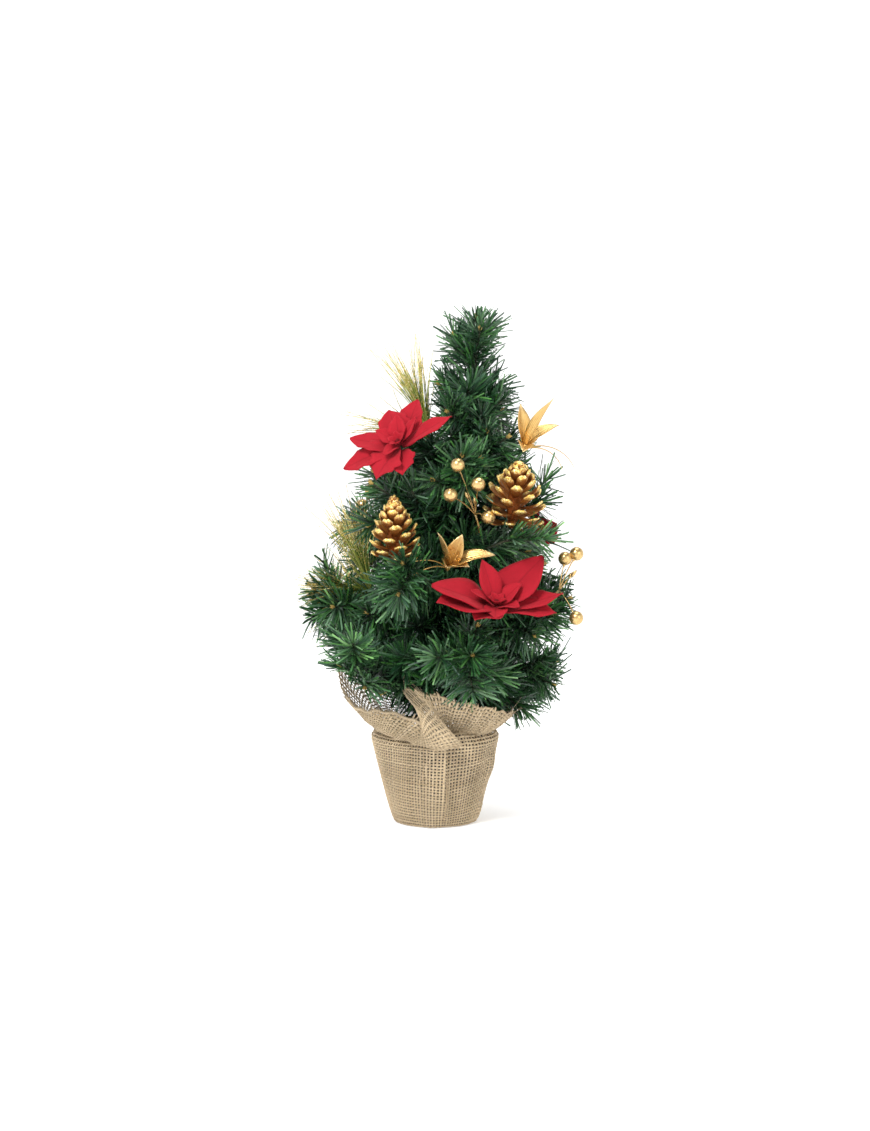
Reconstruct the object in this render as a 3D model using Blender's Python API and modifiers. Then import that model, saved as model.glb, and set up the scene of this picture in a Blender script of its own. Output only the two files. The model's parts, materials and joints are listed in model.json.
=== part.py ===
"""Artificial tabletop tree: a burlap-wrapped pot with a cement plug, a leaning pole with
hinged needle branches in a spiral, and three sprays of flowers, cones, lilies and berries.

Metres, +Z up. The origin is the centre of the flat underside. The front is -Y."""

import math
from collections import namedtuple

import bmesh
import bpy
from mathutils import Matrix, Vector

OBJECT_NAME = "tabletop_tree"

# Clearances
GAP = 0.0003  # between pieces that touch
TURN_STEPS = 40  # facets round the pot and what wraps it
SMOOTH_ANGLE = math.radians(40)

# Pot, plug and pole
POT_HEIGHT = 0.072
POT_BASE_RADIUS = 0.0355
POT_RIM_RADIUS = 0.0550
POT_WALL = 0.0014
PLUG_DEPTH = 0.050
POLE_LENGTH = 0.380
POLE_FOOT_RADIUS = 0.0044
POLE_TOP_RADIUS = 0.0024
POLE_LEAN = math.radians(6.2)  # towards +X
POLE_FOOT_X = -0.006

# Burlap and its tie
CLOTH = 0.0012
SHOULDER_RISE = 0.0050  # the cloth over the rim, above the pot
NECK_RADIUS = 0.035
NECK_RISE = 0.0045  # from the shoulder to the straight part of the neck
NECK_LENGTH = 0.0050
TIE_RADIUS = 0.0016
COLLAR_REACH = 0.037  # from the neck out to the frayed edge
COLLAR_RISE = 0.010
RUFFLE_COUNT = 5
RUFFLE_OUT = 0.006
RUFFLE_UP = 0.0045

# Branches: a spiral up the pole, each one hinged where its wire leaves the pole
BRANCH_COUNT = 24
FIRST_BRANCH_CLEAR = 0.020  # above the collar's rim
LAST_BRANCH_CLEAR = 0.021  # below the pole's end
FIRST_AZIMUTH = math.radians(228)
GOLDEN_TURN = math.radians(137.508)
LONGEST = 0.112
SHORTEST = 0.031
TAPER_POWER = 2.2  # how late the outline narrows
HEAVY_SIDE = math.radians(180)  # the tree reaches further to -X
LOPSIDED = 0.17
RISE_LOW = math.radians(3)
RISE_HIGH = math.radians(36)
RISE_LOPSIDED = math.radians(8)
LOAD_SAG = math.radians(6)  # of a branch that carries decorations
CURL = 0.10  # how far a tip bends up, as a share of its length
ROOT_RADIUS = 0.0018
WIRE_SHARE = 0.85  # of the root's radius
BRUSH_HALF_WIDTH = 0.015
BRUSH_HALF_HEIGHT = 0.012
BRUSH_SPREAD = 0.24  # half width for each metre out, near the pole
LEADER_SPREAD = 0.70
WIDEST = 0.40  # half width and half height of a short brush, as shares of its length
SLIMMEST = 0.32
TIP_START = 0.70  # the share of the length where the tip starts to round off
BRUSH_SIDES = 8
LEADER_LENGTH = 0.066
LEADER_HALF_WIDTH = 0.022

# Decorations
STEM_RADIUS = 0.0010
POINSETTIA_RADIUS = 0.052
INNER_POINSETTIA_RADIUS = 0.034
PETAL_THICKNESS = 0.0010
LAYER_GAP = 0.0022
LILY_RADIUS = 0.024
CONE_RADIUS = 0.020
CONE_HEIGHT = 0.046
CONE_ROWS = 7
BERRY_RADIUS = 0.006
BERRY_WIRE_RADIUS = 0.0007
PINE_LENGTH = 0.075
PINE_THINNING = 0.8  # the fan is this much thinner one way than the other
PINE_SIDES = 8
PINE_RADIUS = 0.013

Perch = namedtuple("Perch", "name branch along stem facing")
# along: metres out from the hinge. stem: from the top of the needles there to the hub.
POINSETTIAS = (
    Perch("poinsettia_front", 3, 0.078, (0.025, -0.013, 0.028), (0.08, -0.46, 0.90)),
    Perch("poinsettia_left", 13, 0.070, (0.002, -0.010, 0.032), (-0.45, -0.70, 0.75)),
    Perch("poinsettia_back", 9, 0.062, (0.006, 0.006, 0.018), (0.65, 0.32, 0.62)),
)
LILIES = (
    Perch("lily_front", 8, 0.060, (0.018, -0.010, -0.0005), (0.00, -0.45, 0.90)),
    Perch("lily_right", 14, 0.056, (-0.002, -0.006, 0.040), (0.22, -0.20, 0.95)),
    Perch("lily_back", 7, 0.086, (-0.006, 0.008, 0.014), (-0.20, 0.60, 0.80)),
)
CONES = (
    Perch("cone_left", 8, 0.072, (-0.022, 0.000, 0.005), (-0.02, -0.15, 0.98)),
    Perch("cone_right", 11, 0.064, (0.014, 0.004, 0.018), (0.10, -0.30, 0.94)),
    Perch("cone_back", 12, 0.058, (-0.006, 0.004, 0.006), (-0.10, 0.30, 0.93)),
)
PINES = (
    Perch("glitter_pine_left", 5, 0.068, (0.000, 0.000, 0.004), (-0.34, -0.06, 0.94)),
    Perch("glitter_pine_upper", 18, 0.036, (-0.002, 0.000, 0.004), (-0.26, 0.06, 0.96)),
    Perch("glitter_pine_back", 2, 0.075, (0.000, 0.000, 0.004), (-0.30, 0.40, 0.85)),
)
Sprig = namedtuple("Sprig", "name branch along berries")
# berries: their centres, from the top of the needles at that place
SPRIGS = (
    Sprig(
        "berries_front",
        11,
        0.040,
        ((-0.022, -0.044, 0.064), (-0.028, -0.042, 0.039), (-0.005, -0.044, 0.048), (0.004, -0.030, 0.020)),
    ),
    Sprig(
        "berries_right",
        6,
        0.086,
        ((0.017, 0.010, 0.040), (0.027, 0.012, 0.044), (0.024, -0.026, -0.008)),
    ),
    Sprig(
        "berries_back",
        10,
        0.070,
        ((-0.012, 0.010, 0.030), (-0.020, 0.016, 0.016), (-0.002, 0.018, 0.024)),
    ),
)

# Colours, roughness and metallic
GREEN_NEEDLES = ("green_needles", (0.030, 0.105, 0.040), 0.45, 0.0)
GREEN_TAPE = ("green_tape", (0.020, 0.060, 0.025), 0.60, 0.0)
BLACK_PLASTIC = ("black_plastic", (0.030, 0.028, 0.026), 0.50, 0.0)
CEMENT = ("cement", (0.420, 0.410, 0.390), 0.90, 0.0)
BURLAP = ("burlap", (0.500, 0.350, 0.190), 0.95, 0.0)
TWINE = ("twine", (0.420, 0.290, 0.150), 0.90, 0.0)
RED_FELT = ("red_felt", (0.560, 0.012, 0.020), 0.80, 0.0)
GOLD_FOIL = ("gold_foil", (0.640, 0.380, 0.090), 0.35, 0.6)
GOLD_SCALES = ("gold_scales", (0.480, 0.230, 0.050), 0.45, 0.4)
GOLD_BERRY = ("gold_berry", (0.620, 0.430, 0.180), 0.30, 0.7)
GLITTER_GREEN = ("glitter_green", (0.280, 0.270, 0.060), 0.40, 0.3)


def clear_scene():
    for obj in list(bpy.data.objects):
        bpy.data.objects.remove(obj, do_unlink=True)


def new_collection(name):
    collection = bpy.data.collections.new(name)
    bpy.context.scene.collection.children.link(collection)
    return collection


def material_of(look):
    name, colour, roughness, metallic = look
    material = bpy.data.materials.get(name)
    if material:
        return material
    material = bpy.data.materials.new(name)
    material.use_nodes = True
    shader = material.node_tree.nodes["Principled BSDF"]
    shader.inputs["Base Color"].default_value = (*colour, 1.0)
    shader.inputs["Roughness"].default_value = roughness
    shader.inputs["Metallic"].default_value = metallic
    return material


def object_from(name, bm, look):
    """A new object with this bmesh, whose faces already face out."""
    mesh = bpy.data.meshes.new(name)
    bm.to_mesh(mesh)
    bm.free()
    mesh.materials.append(material_of(look))
    mesh.shade_smooth()
    mesh.set_sharp_from_angle(angle=SMOOTH_ANGLE)
    obj = bpy.data.objects.new(name, mesh)
    PARTS.objects.link(obj)
    return obj


def as_guide(obj):
    """Leaves this object out of the part: it only cuts or joins another."""
    for collection in list(obj.users_collection):
        collection.objects.unlink(obj)
    CUTTERS.objects.link(obj)
    obj.hide_render = True
    obj.display_type = "WIRE"
    return obj


def combine(obj, other, operation):
    """Joins or cuts with another solid, which is given in this object's own axes."""
    other.parent = obj
    modifier = obj.modifiers.new(other.name, "BOOLEAN")
    modifier.operation = operation
    modifier.object = as_guide(other)


def turned(name, profile, look, steps=TURN_STEPS):
    """A profile in the XZ plane turned about Z. Its outer side runs from top to bottom."""
    mesh = bpy.data.meshes.new(name)
    points = [(radius, 0.0, height) for radius, height in profile]
    mesh.from_pydata(points, [(i, i + 1) for i in range(len(points) - 1)], [])
    mesh.materials.append(material_of(look))
    obj = bpy.data.objects.new(name, mesh)
    PARTS.objects.link(obj)
    screw = obj.modifiers.new("turn", "SCREW")
    screw.steps = steps
    screw.render_steps = steps
    screw.use_merge_vertices = True
    screw.merge_threshold = 0.00001
    screw.use_smooth_shade = True
    return obj


def loft(rings):
    """A closed tube through rings of points, capped at both ends."""
    bm = bmesh.new()
    loops = [[bm.verts.new(point) for point in ring] for ring in rings]
    for low, high in zip(loops, loops[1:]):
        for i in range(len(low)):
            j = (i + 1) % len(low)
            bm.faces.new((low[i], low[j], high[j], high[i]))
    bm.faces.new(reversed(loops[0]))
    bm.faces.new(loops[-1])
    return bm


def tube(start, end, radius, sides=6):
    """A straight capped rod between two points."""
    start = Vector(start)
    span = Vector(end) - start
    turn = span.to_track_quat("Z", "Y")
    rings = []
    for share in (0.0, 1.0):
        rings.append(
            [
                start + span * share + turn @ Vector((radius * math.cos(a), radius * math.sin(a), 0))
                for a in (math.tau * k / sides for k in range(sides))
            ]
        )
    return loft(rings)


def pot_radius(height):
    """The pot's outer radius at this height above its own foot."""
    return POT_BASE_RADIUS + (POT_RIM_RADIUS - POT_BASE_RADIUS) * height / POT_HEIGHT


POT_FOOT = CLOTH + GAP  # the pot stands on the cloth under it
SHOULDER_HEIGHT = POT_FOOT + POT_HEIGHT + SHOULDER_RISE
NECK_LOW = SHOULDER_HEIGHT + NECK_RISE
NECK_HIGH = NECK_LOW + NECK_LENGTH
POLE_AXIS = Vector((math.sin(POLE_LEAN), 0, math.cos(POLE_LEAN)))
POLE_FOOT = Vector((POLE_FOOT_X, 0, POT_FOOT + POT_WALL + 2 * GAP))
POLE_TOP = POLE_FOOT + POLE_AXIS * POLE_LENGTH
FIRST_BRANCH = NECK_HIGH + COLLAR_RISE + FIRST_BRANCH_CLEAR
LAST_BRANCH = POLE_TOP.z - LAST_BRANCH_CLEAR


def make_pot():
    profile = (
        (0.0, POT_WALL),
        (pot_radius(POT_WALL) - POT_WALL, POT_WALL),
        (POT_RIM_RADIUS - POT_WALL, POT_HEIGHT),
        (POT_RIM_RADIUS, POT_HEIGHT),
        (POT_BASE_RADIUS, 0.0),
        (0.0, 0.0),
    )
    pot = turned("pot_cup", profile, BLACK_PLASTIC)
    pot.location.z = POT_FOOT


def make_plug():
    low = POT_WALL + GAP
    high = low + PLUG_DEPTH
    inset = POT_WALL + GAP
    profile = (
        (0.0, high),
        (pot_radius(high) - inset, high),
        (pot_radius(low) - inset, low),
        (0.0, low),
    )
    plug = turned("ballast_plug", profile, CEMENT)
    plug.location.z = POT_FOOT
    foot = POLE_FOOT - plug.location
    reach = POLE_AXIS * 2 * PLUG_DEPTH
    bore = tube(foot - reach, foot + reach, POLE_FOOT_RADIUS + GAP, 16)
    hole = object_from("pole_hole", bore, CEMENT)
    combine(plug, hole, "DIFFERENCE")


def pole_radius(distance):
    return POLE_FOOT_RADIUS + (POLE_TOP_RADIUS - POLE_FOOT_RADIUS) * distance / POLE_LENGTH


def pole_point(height):
    """The point on the pole's axis at this height."""
    return POLE_FOOT + POLE_AXIS * ((height - POLE_FOOT.z) / POLE_AXIS.z)


def make_pole():
    bm = bmesh.new()
    bmesh.ops.create_cone(
        bm,
        cap_ends=True,
        segments=16,
        radius1=POLE_FOOT_RADIUS,
        radius2=POLE_TOP_RADIUS,
        depth=POLE_LENGTH,
        matrix=Matrix.Translation((0, 0, POLE_LENGTH / 2)),
    )
    pole = object_from("trunk_pole", bm, GREEN_TAPE)
    pole.location = POLE_FOOT
    pole.rotation_euler = (0, POLE_LEAN, 0)


def cloth_profile():
    """(radius, height, ruffle) of the cloth's outer face, from the middle of the underside."""
    skin = GAP + CLOTH
    foot = POT_BASE_RADIUS + skin
    rim = POT_RIM_RADIUS + skin
    top = POT_FOOT + POT_HEIGHT
    return (
        (foot * 0.45, 0.0, 0.0),
        (foot - 0.6 * skin, 0.0, 0.0),
        (foot + 0.4 * skin, skin, 0.0),
        (pot_radius(POT_HEIGHT / 2) + skin * 1.3, POT_FOOT + POT_HEIGHT / 2, 0.0),
        (rim + 0.3 * skin, top, 0.0),
        (rim - 2 * skin, SHOULDER_HEIGHT - GAP, 0.0),
        ((rim + NECK_RADIUS) / 2 - skin, SHOULDER_HEIGHT + NECK_RISE / 3, 0.0),
        (NECK_RADIUS, NECK_LOW, 0.0),
        (NECK_RADIUS, NECK_HIGH, 0.0),
        (NECK_RADIUS + COLLAR_REACH * 0.25, NECK_HIGH + COLLAR_RISE * 0.35, 0.15),
        (NECK_RADIUS + COLLAR_REACH * 0.60, NECK_HIGH + COLLAR_RISE * 0.70, 0.55),
        (NECK_RADIUS + COLLAR_REACH, NECK_HIGH + COLLAR_RISE, 1.0),
    )


def make_wrap():
    """The burlap: a polar grid, thickened inwards, that folds into ruffles at its edge."""
    bm = bmesh.new()
    centre = bm.verts.new((0, 0, 0))
    rings = []
    for radius, height, ruffle in cloth_profile():
        ring = []
        for step in range(TURN_STEPS):
            angle = math.tau * step / TURN_STEPS
            out = radius + ruffle * RUFFLE_OUT * math.sin(RUFFLE_COUNT * angle + 1.0)
            up = height + ruffle * RUFFLE_UP * math.cos(RUFFLE_COUNT * angle + 0.4)
            ring.append(bm.verts.new((out * math.cos(angle), out * math.sin(angle), up)))
        rings.append(ring)
    for i in range(TURN_STEPS):
        j = (i + 1) % TURN_STEPS
        bm.faces.new((centre, rings[0][j], rings[0][i]))
        for low, high in zip(rings, rings[1:]):
            bm.faces.new((low[i], low[j], high[j], high[i]))
    wrap = object_from("burlap_wrap", bm, BURLAP)
    solidify = wrap.modifiers.new("cloth", "SOLIDIFY")
    solidify.thickness = CLOTH
    solidify.offset = -1.0
    solidify.use_even_offset = True


def make_tie():
    bpy.ops.mesh.primitive_torus_add(
        major_segments=TURN_STEPS,
        minor_segments=6,
        major_radius=NECK_RADIUS + GAP + TIE_RADIUS,
        minor_radius=TIE_RADIUS,
        location=(0, 0, (NECK_LOW + NECK_HIGH) / 2),
    )
    tie = bpy.context.object
    tie.name = "neck_tie"
    tie.data.materials.append(material_of(TWINE))
    tie.data.shade_smooth()
    for collection in list(tie.users_collection):
        collection.objects.unlink(tie)
    PARTS.objects.link(tie)


def tip_fill(share):
    """How full a brush is this share of the way out: whole, then rounded off at the tip."""
    past = max(0.0, share - TIP_START) / (1.005 - TIP_START)
    return math.sqrt(max(0.02, 1 - past**2))


def brush_rings(length, half_width, half_height, curl, spread):
    """Rings of a needle brush along +X: a round root about the hinge, a wire, then the needles."""
    root = ROOT_RADIUS
    wire = root * WIRE_SHARE
    stations = [(-0.87 * root, 0.5 * root, 0.5 * root), (-0.5 * root, 0.87 * root, 0.87 * root)]
    stations += [(0.0, root, root), (2.5 * root, wire, wire)]
    for share in (0.20, 0.45, 0.70, 0.88, 1.0):
        out = share * length
        wide = max(wire, min(half_width, spread * out) * tip_fill(share))
        high = max(wire, min(half_height, spread * out) * tip_fill(share))
        stations.append((out, wide, high))
    rings = []
    for out, wide, high in stations:
        lift = curl * length * (max(out, 0) / length) ** 2
        rings.append(
            [
                (out, wide * math.cos(a), lift + high * math.sin(a))
                for a in (math.tau * (k + 0.5) / BRUSH_SIDES for k in range(BRUSH_SIDES))
            ]
        )
    return rings


Branch = namedtuple("Branch", "name hinge azimuth rise length")


def branch_plan(index):
    """Where this branch leaves the pole, and where it points."""
    share = index / (BRANCH_COUNT - 1)
    height = FIRST_BRANCH + (LAST_BRANCH - FIRST_BRANCH) * share
    azimuth = FIRST_AZIMUTH + index * GOLDEN_TURN
    side = math.cos(azimuth - HEAVY_SIDE)
    length = max(SHORTEST, LONGEST * (1 - (0.92 * share) ** TAPER_POWER)) * (1 + LOPSIDED * side)
    rise = RISE_LOW + (RISE_HIGH - RISE_LOW) * share + RISE_LOPSIDED * side
    if index in {piece.branch for piece in POINSETTIAS + LILIES + CONES + PINES + SPRIGS}:
        rise -= LOAD_SAG
    on_pole = pole_point(height)
    radius = pole_radius((on_pole - POLE_FOOT).length)
    reach = radius + GAP + ROOT_RADIUS * 1.02
    hinge = on_pole + Vector((math.cos(azimuth), math.sin(azimuth), 0)) * reach
    return Branch(f"branch_{index + 1:02d}", hinge, azimuth, rise, length)


def branch_matrix(branch):
    """The branch's own axes: +X along its wire, +Y level, with its origin on the hinge."""
    turn = Matrix.Rotation(branch.azimuth, 4, "Z") @ Matrix.Rotation(-branch.rise, 4, "Y")
    return Matrix.Translation(branch.hinge) @ turn


def make_branch(branch):
    half_width = min(BRUSH_HALF_WIDTH, WIDEST * branch.length)
    half_height = min(BRUSH_HALF_HEIGHT, SLIMMEST * branch.length)
    rings = brush_rings(branch.length, half_width, half_height, CURL, BRUSH_SPREAD)
    obj = object_from(branch.name, loft(rings), GREEN_NEEDLES)
    obj.matrix_world = branch_matrix(branch)
    return obj


def make_leader():
    """The top tuft, hinged on the pole's end."""
    rings = brush_rings(LEADER_LENGTH, LEADER_HALF_WIDTH, LEADER_HALF_WIDTH, 0.0, LEADER_SPREAD)
    leader = object_from("leader_brush", loft(rings), GREEN_NEEDLES)
    hinge = POLE_TOP + POLE_AXIS * (GAP + ROOT_RADIUS)
    leader.matrix_world = Matrix.Translation(hinge) @ Matrix.Rotation(-math.pi / 2, 4, "Y")


def perch_point(branch, along):
    """The point just clear of the needles on top of a branch, this far out."""
    share = along / branch.length
    half_height = min(BRUSH_HALF_HEIGHT, SLIMMEST * branch.length, BRUSH_SPREAD * along) * tip_fill(share)
    lift = CURL * branch.length * share**2
    return branch_matrix(branch) @ Vector((along, 0, lift + half_height + 2 * GAP))


def place(obj, hub, facing, carrier):
    """Puts the piece's +Z along facing with its origin at the hub, on the branch that carries it."""
    turn = Vector(facing).to_track_quat("Z", "Y").to_matrix().to_4x4()
    matrix = Matrix.Translation(hub) @ turn
    obj.parent = carrier
    obj.matrix_parent_inverse = carrier.matrix_world.inverted()
    obj.matrix_basis = matrix
    return matrix


def star(name, petals, radius, waist, cup, look):
    """One layer of pointed petals round a hub, cupped upwards: a thick open surface."""
    bm = bmesh.new()
    steps = petals * 4
    centre = bm.verts.new((0, 0, 0))
    rings = []
    for share in (0.25, 0.62, 1.0):
        ring = []
        for step in range(steps):
            angle = math.tau * step / steps
            lobe = (1.0, 0.62, waist, 0.62)[step % 4]
            out = radius * share * (1 + (lobe - 1) * share)
            up = math.tan(cup) * out * (0.55 + 0.45 * share)
            ring.append(bm.verts.new((out * math.cos(angle), out * math.sin(angle), up)))
        rings.append(ring)
    for i in range(steps):
        j = (i + 1) % steps
        bm.faces.new((centre, rings[0][i], rings[0][j]))
        for inner, outer in zip(rings, rings[1:]):
            bm.faces.new((inner[i], outer[i], outer[j], inner[j]))
    obj = object_from(name, bm, look)
    solidify = obj.modifiers.new("petal", "SOLIDIFY")
    solidify.thickness = PETAL_THICKNESS
    solidify.offset = 0.0
    return obj


def add_stem(obj, matrix, foot):
    """Joins a wire from the hub down to its foot on the needles."""
    stem = tube((0, 0, 0), matrix.inverted() @ foot, STEM_RADIUS)
    combine(obj, object_from(obj.name + "_stem", stem, GREEN_TAPE), "UNION")


def make_poinsettia(perch, branches, carriers):
    foot = perch_point(branches[perch.branch], perch.along)
    hub = foot + Vector(perch.stem)
    carrier = carriers[perch.branch]
    outer = star(perch.name + "_outer", 6, POINSETTIA_RADIUS, 0.38, math.radians(14), RED_FELT)
    matrix = place(outer, hub, perch.facing, carrier)
    add_stem(outer, matrix, foot)
    inner = star(perch.name + "_inner", 5, INNER_POINSETTIA_RADIUS, 0.40, math.radians(34), RED_FELT)
    lift = matrix.to_quaternion() @ Vector((0, 0, LAYER_GAP))
    place(inner, hub + lift, perch.facing, carrier)


def make_lily(perch, branches, carriers):
    foot = perch_point(branches[perch.branch], perch.along)
    hub = foot + Vector(perch.stem)
    lily = star(perch.name, 5, LILY_RADIUS, 0.40, math.radians(55), GOLD_FOIL)
    matrix = place(lily, hub, perch.facing, carriers[perch.branch])
    add_stem(lily, matrix, foot)


def make_cone(perch, branches, carriers):
    """A pine cone: rows of scales round a rounded body, turned as one ridged solid."""
    foot = perch_point(branches[perch.branch], perch.along)
    hub = foot + Vector(perch.stem)
    profile = [(0.0, CONE_HEIGHT)]
    row_height = CONE_HEIGHT / CONE_ROWS
    for row in range(CONE_ROWS, 0, -1):
        turn = math.pi * (0.72 - 0.61 * row / CONE_ROWS)  # an egg: widest below its middle
        lip = CONE_RADIUS * max(0.22, math.sin(turn) ** 0.8)
        height = (row - 0.25) * row_height
        profile.append((lip * 0.62, height))
        profile.append((lip, height - 0.35 * row_height))
    profile += [(CONE_RADIUS * 0.45, 0.0), (0.0, 0.0)]
    cone = turned(perch.name, profile, GOLD_SCALES, 16)
    matrix = place(cone, hub, perch.facing, carriers[perch.branch])
    local_foot = matrix.inverted() @ foot
    stem = tube(Vector((0, 0, 0.1 * CONE_HEIGHT)), local_foot, STEM_RADIUS)
    combine(cone, object_from(perch.name + "_stem", stem, GREEN_TAPE), "UNION")


def make_pine(perch, branches, carriers):
    """A fan of long glittered needles, as the slim solid that holds them."""
    foot = perch_point(branches[perch.branch], perch.along)
    hub = foot + Vector(perch.stem)
    rings = []
    for share, width in ((0.0, 0.12), (0.1, 0.2), (0.35, 0.8), (0.6, 1.0), (0.85, 0.85), (1.0, 0.45)):
        wide, thick = PINE_RADIUS * width, PINE_THINNING * PINE_RADIUS * width
        angles = [math.tau * k / PINE_SIDES for k in range(PINE_SIDES)]
        rings.append([(wide * math.cos(a), thick * math.sin(a), PINE_LENGTH * share) for a in angles])
    pine = object_from(perch.name, loft(rings), GLITTER_GREEN)
    matrix = place(pine, hub, perch.facing, carriers[perch.branch])
    local_foot = matrix.inverted() @ foot
    stem = tube(Vector((0, 0, 0.1 * PINE_LENGTH)), local_foot, STEM_RADIUS)
    combine(pine, object_from(perch.name + "_stem", stem, GREEN_TAPE), "UNION")


def make_sprig(sprig, branches, carriers):
    """Berries on thin wires that meet in one stem."""
    foot = perch_point(branches[sprig.branch], sprig.along)
    carrier = carriers[sprig.branch]
    centres = [Vector(berry) for berry in sprig.berries]
    middle = sum(centres, Vector()) / len(centres)
    fork = middle * 0.45
    base = object_from(sprig.name, tube((0, 0, 0), fork * 1.04, STEM_RADIUS), GOLD_BERRY)
    for number, centre in enumerate(centres):
        wire = tube(fork, centre, BERRY_WIRE_RADIUS)
        combine(base, object_from(f"{sprig.name}_wire_{number}", wire, GOLD_BERRY), "UNION")
        bm = bmesh.new()
        bmesh.ops.create_uvsphere(
            bm, u_segments=10, v_segments=6, radius=BERRY_RADIUS, matrix=Matrix.Translation(centre)
        )
        combine(base, object_from(f"{sprig.name}_berry_{number}", bm, GOLD_BERRY), "UNION")
    base.parent = carrier
    base.matrix_parent_inverse = carrier.matrix_world.inverted()
    base.matrix_basis = Matrix.Translation(foot)


def main():
    make_pot()
    make_plug()
    make_wrap()
    make_tie()
    make_pole()
    make_leader()
    branches = [branch_plan(index) for index in range(BRANCH_COUNT)]
    carriers = [make_branch(branch) for branch in branches]
    bpy.context.view_layer.update()
    for perch in POINSETTIAS:
        make_poinsettia(perch, branches, carriers)
    for perch in LILIES:
        make_lily(perch, branches, carriers)
    for perch in CONES:
        make_cone(perch, branches, carriers)
    for perch in PINES:
        make_pine(perch, branches, carriers)
    for sprig in SPRIGS:
        make_sprig(sprig, branches, carriers)


clear_scene()
PARTS = new_collection(OBJECT_NAME)
CUTTERS = new_collection("cutters")
CUTTERS.hide_render = True
main()
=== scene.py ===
"""The looks of an artificial tabletop tree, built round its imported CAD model.

Metres, +Z up, the front is -Y. Every place comes from the frame: hinges from the joints,
hubs and tips from the CAD nodes' meshes. Needles, yarns, petals and scales are real
geometry, gathered in numpy and written to a few meshes for each body."""

import json
import math

import bpy
import numpy as np
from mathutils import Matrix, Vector
from mathutils.bvhtree import BVHTree

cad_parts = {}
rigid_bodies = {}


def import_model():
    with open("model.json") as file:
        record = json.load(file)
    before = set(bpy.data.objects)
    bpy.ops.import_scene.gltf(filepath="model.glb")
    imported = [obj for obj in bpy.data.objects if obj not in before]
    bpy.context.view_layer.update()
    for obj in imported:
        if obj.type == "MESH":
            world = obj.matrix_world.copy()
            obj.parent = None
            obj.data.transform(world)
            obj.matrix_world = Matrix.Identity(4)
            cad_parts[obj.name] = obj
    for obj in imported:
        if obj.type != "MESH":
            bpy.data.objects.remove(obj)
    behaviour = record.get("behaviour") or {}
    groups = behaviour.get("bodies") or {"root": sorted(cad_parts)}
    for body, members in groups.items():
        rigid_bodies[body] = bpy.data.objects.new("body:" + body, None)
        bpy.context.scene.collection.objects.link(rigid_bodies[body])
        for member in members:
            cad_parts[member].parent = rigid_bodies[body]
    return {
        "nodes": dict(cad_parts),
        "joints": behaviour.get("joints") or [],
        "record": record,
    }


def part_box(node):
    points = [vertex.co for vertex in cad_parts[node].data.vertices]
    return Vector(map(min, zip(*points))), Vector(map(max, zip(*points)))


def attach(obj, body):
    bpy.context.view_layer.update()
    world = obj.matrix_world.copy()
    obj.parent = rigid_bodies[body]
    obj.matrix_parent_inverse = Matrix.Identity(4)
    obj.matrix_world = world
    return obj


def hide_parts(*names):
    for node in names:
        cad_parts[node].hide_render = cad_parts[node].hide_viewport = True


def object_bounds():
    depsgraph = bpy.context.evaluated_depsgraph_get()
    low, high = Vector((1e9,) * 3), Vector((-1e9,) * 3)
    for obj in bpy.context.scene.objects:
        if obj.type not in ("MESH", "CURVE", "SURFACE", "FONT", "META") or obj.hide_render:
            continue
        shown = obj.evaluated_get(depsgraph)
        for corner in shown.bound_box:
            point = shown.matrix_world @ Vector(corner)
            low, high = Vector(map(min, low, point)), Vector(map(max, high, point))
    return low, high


for startup_object in list(bpy.data.objects):
    bpy.data.objects.remove(startup_object, do_unlink=True)
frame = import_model()
CAD_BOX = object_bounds()
NODES = frame["nodes"]
JOINTS = {joint["child"]: joint for joint in frame["joints"]}
BODY_OF = {node: body for body, nodes in frame["record"]["behaviour"]["bodies"].items() for node in nodes}
UP = np.array([0.0, 0.0, 1.0])
GOLDEN = math.radians(137.508)

# Needles of the branches
NEEDLE_LENGTH = 0.026
NEEDLE_WIDTH = 0.00165
NEEDLE_THICKNESS = 0.00026
NEEDLES_PER_METRE = 4200
NEEDLE_ANGLE = math.radians(58)  # from the wire, along a twig
TIP_ANGLE = math.radians(24)  # and at its tip
WIRE_RADIUS = 0.00055  # of each of the two strands
WIRE_PITCH = 0.0045
LOOSE = 0.004  # how far needles may stand out of the CAD box

# How far the needles reach to the left and the right at each height
OUTLINE = (
    (0.085, -0.030, 0.112),
    (0.110, -0.040, 0.112),
    (0.128, -0.060, 0.114),
    (0.146, -0.088, 0.118),
    (0.163, -0.109, 0.122),
    (0.198, -0.120, 0.122),
    (0.233, -0.104, 0.117),
    (0.268, -0.086, 0.113),
    (0.304, -0.080, 0.112),
    (0.339, -0.052, 0.104),
    (0.374, -0.012, 0.082),
    (0.409, -0.004, 0.066),
    (0.440, 0.002, 0.070),
    (0.460, 0.004, 0.070),
)
FRINGE = 0.006  # single needles reach past it by up to this
LOWEST = 0.080  # no needle hangs below this
COLLAR_ROOM = ((-0.052, 0.066), -0.034, 0.117)  # x, y and z of the space kept clear before the collar
PROUD = 0.011  # how far glittered needles may stand out of the CAD box

BERRY_RADIUS = 0.006

# Burlap
POT_WARPS = 96
COLLAR_WARPS = 176
YARN_WIDTH = 0.00165
YARN_THICKNESS = 0.00070
WEAVE_RISE = 0.00036
YARN_FILL = 0.66  # of the pitch of the weave
OPEN_FILL = 0.56  # at the collar's tall left side
CLOSE_FILL = 0.86  # where the collar is bunched up
CLOTH_GAP = 0.0009  # from the pot to the middle of the cloth
NECK_RADIUS = 0.0345
NECK_RISE = 0.0125  # the neck, above the pot's rim


def unit(vectors):
    return vectors / np.maximum(np.linalg.norm(vectors, axis=-1, keepdims=True), 1e-12)


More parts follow.
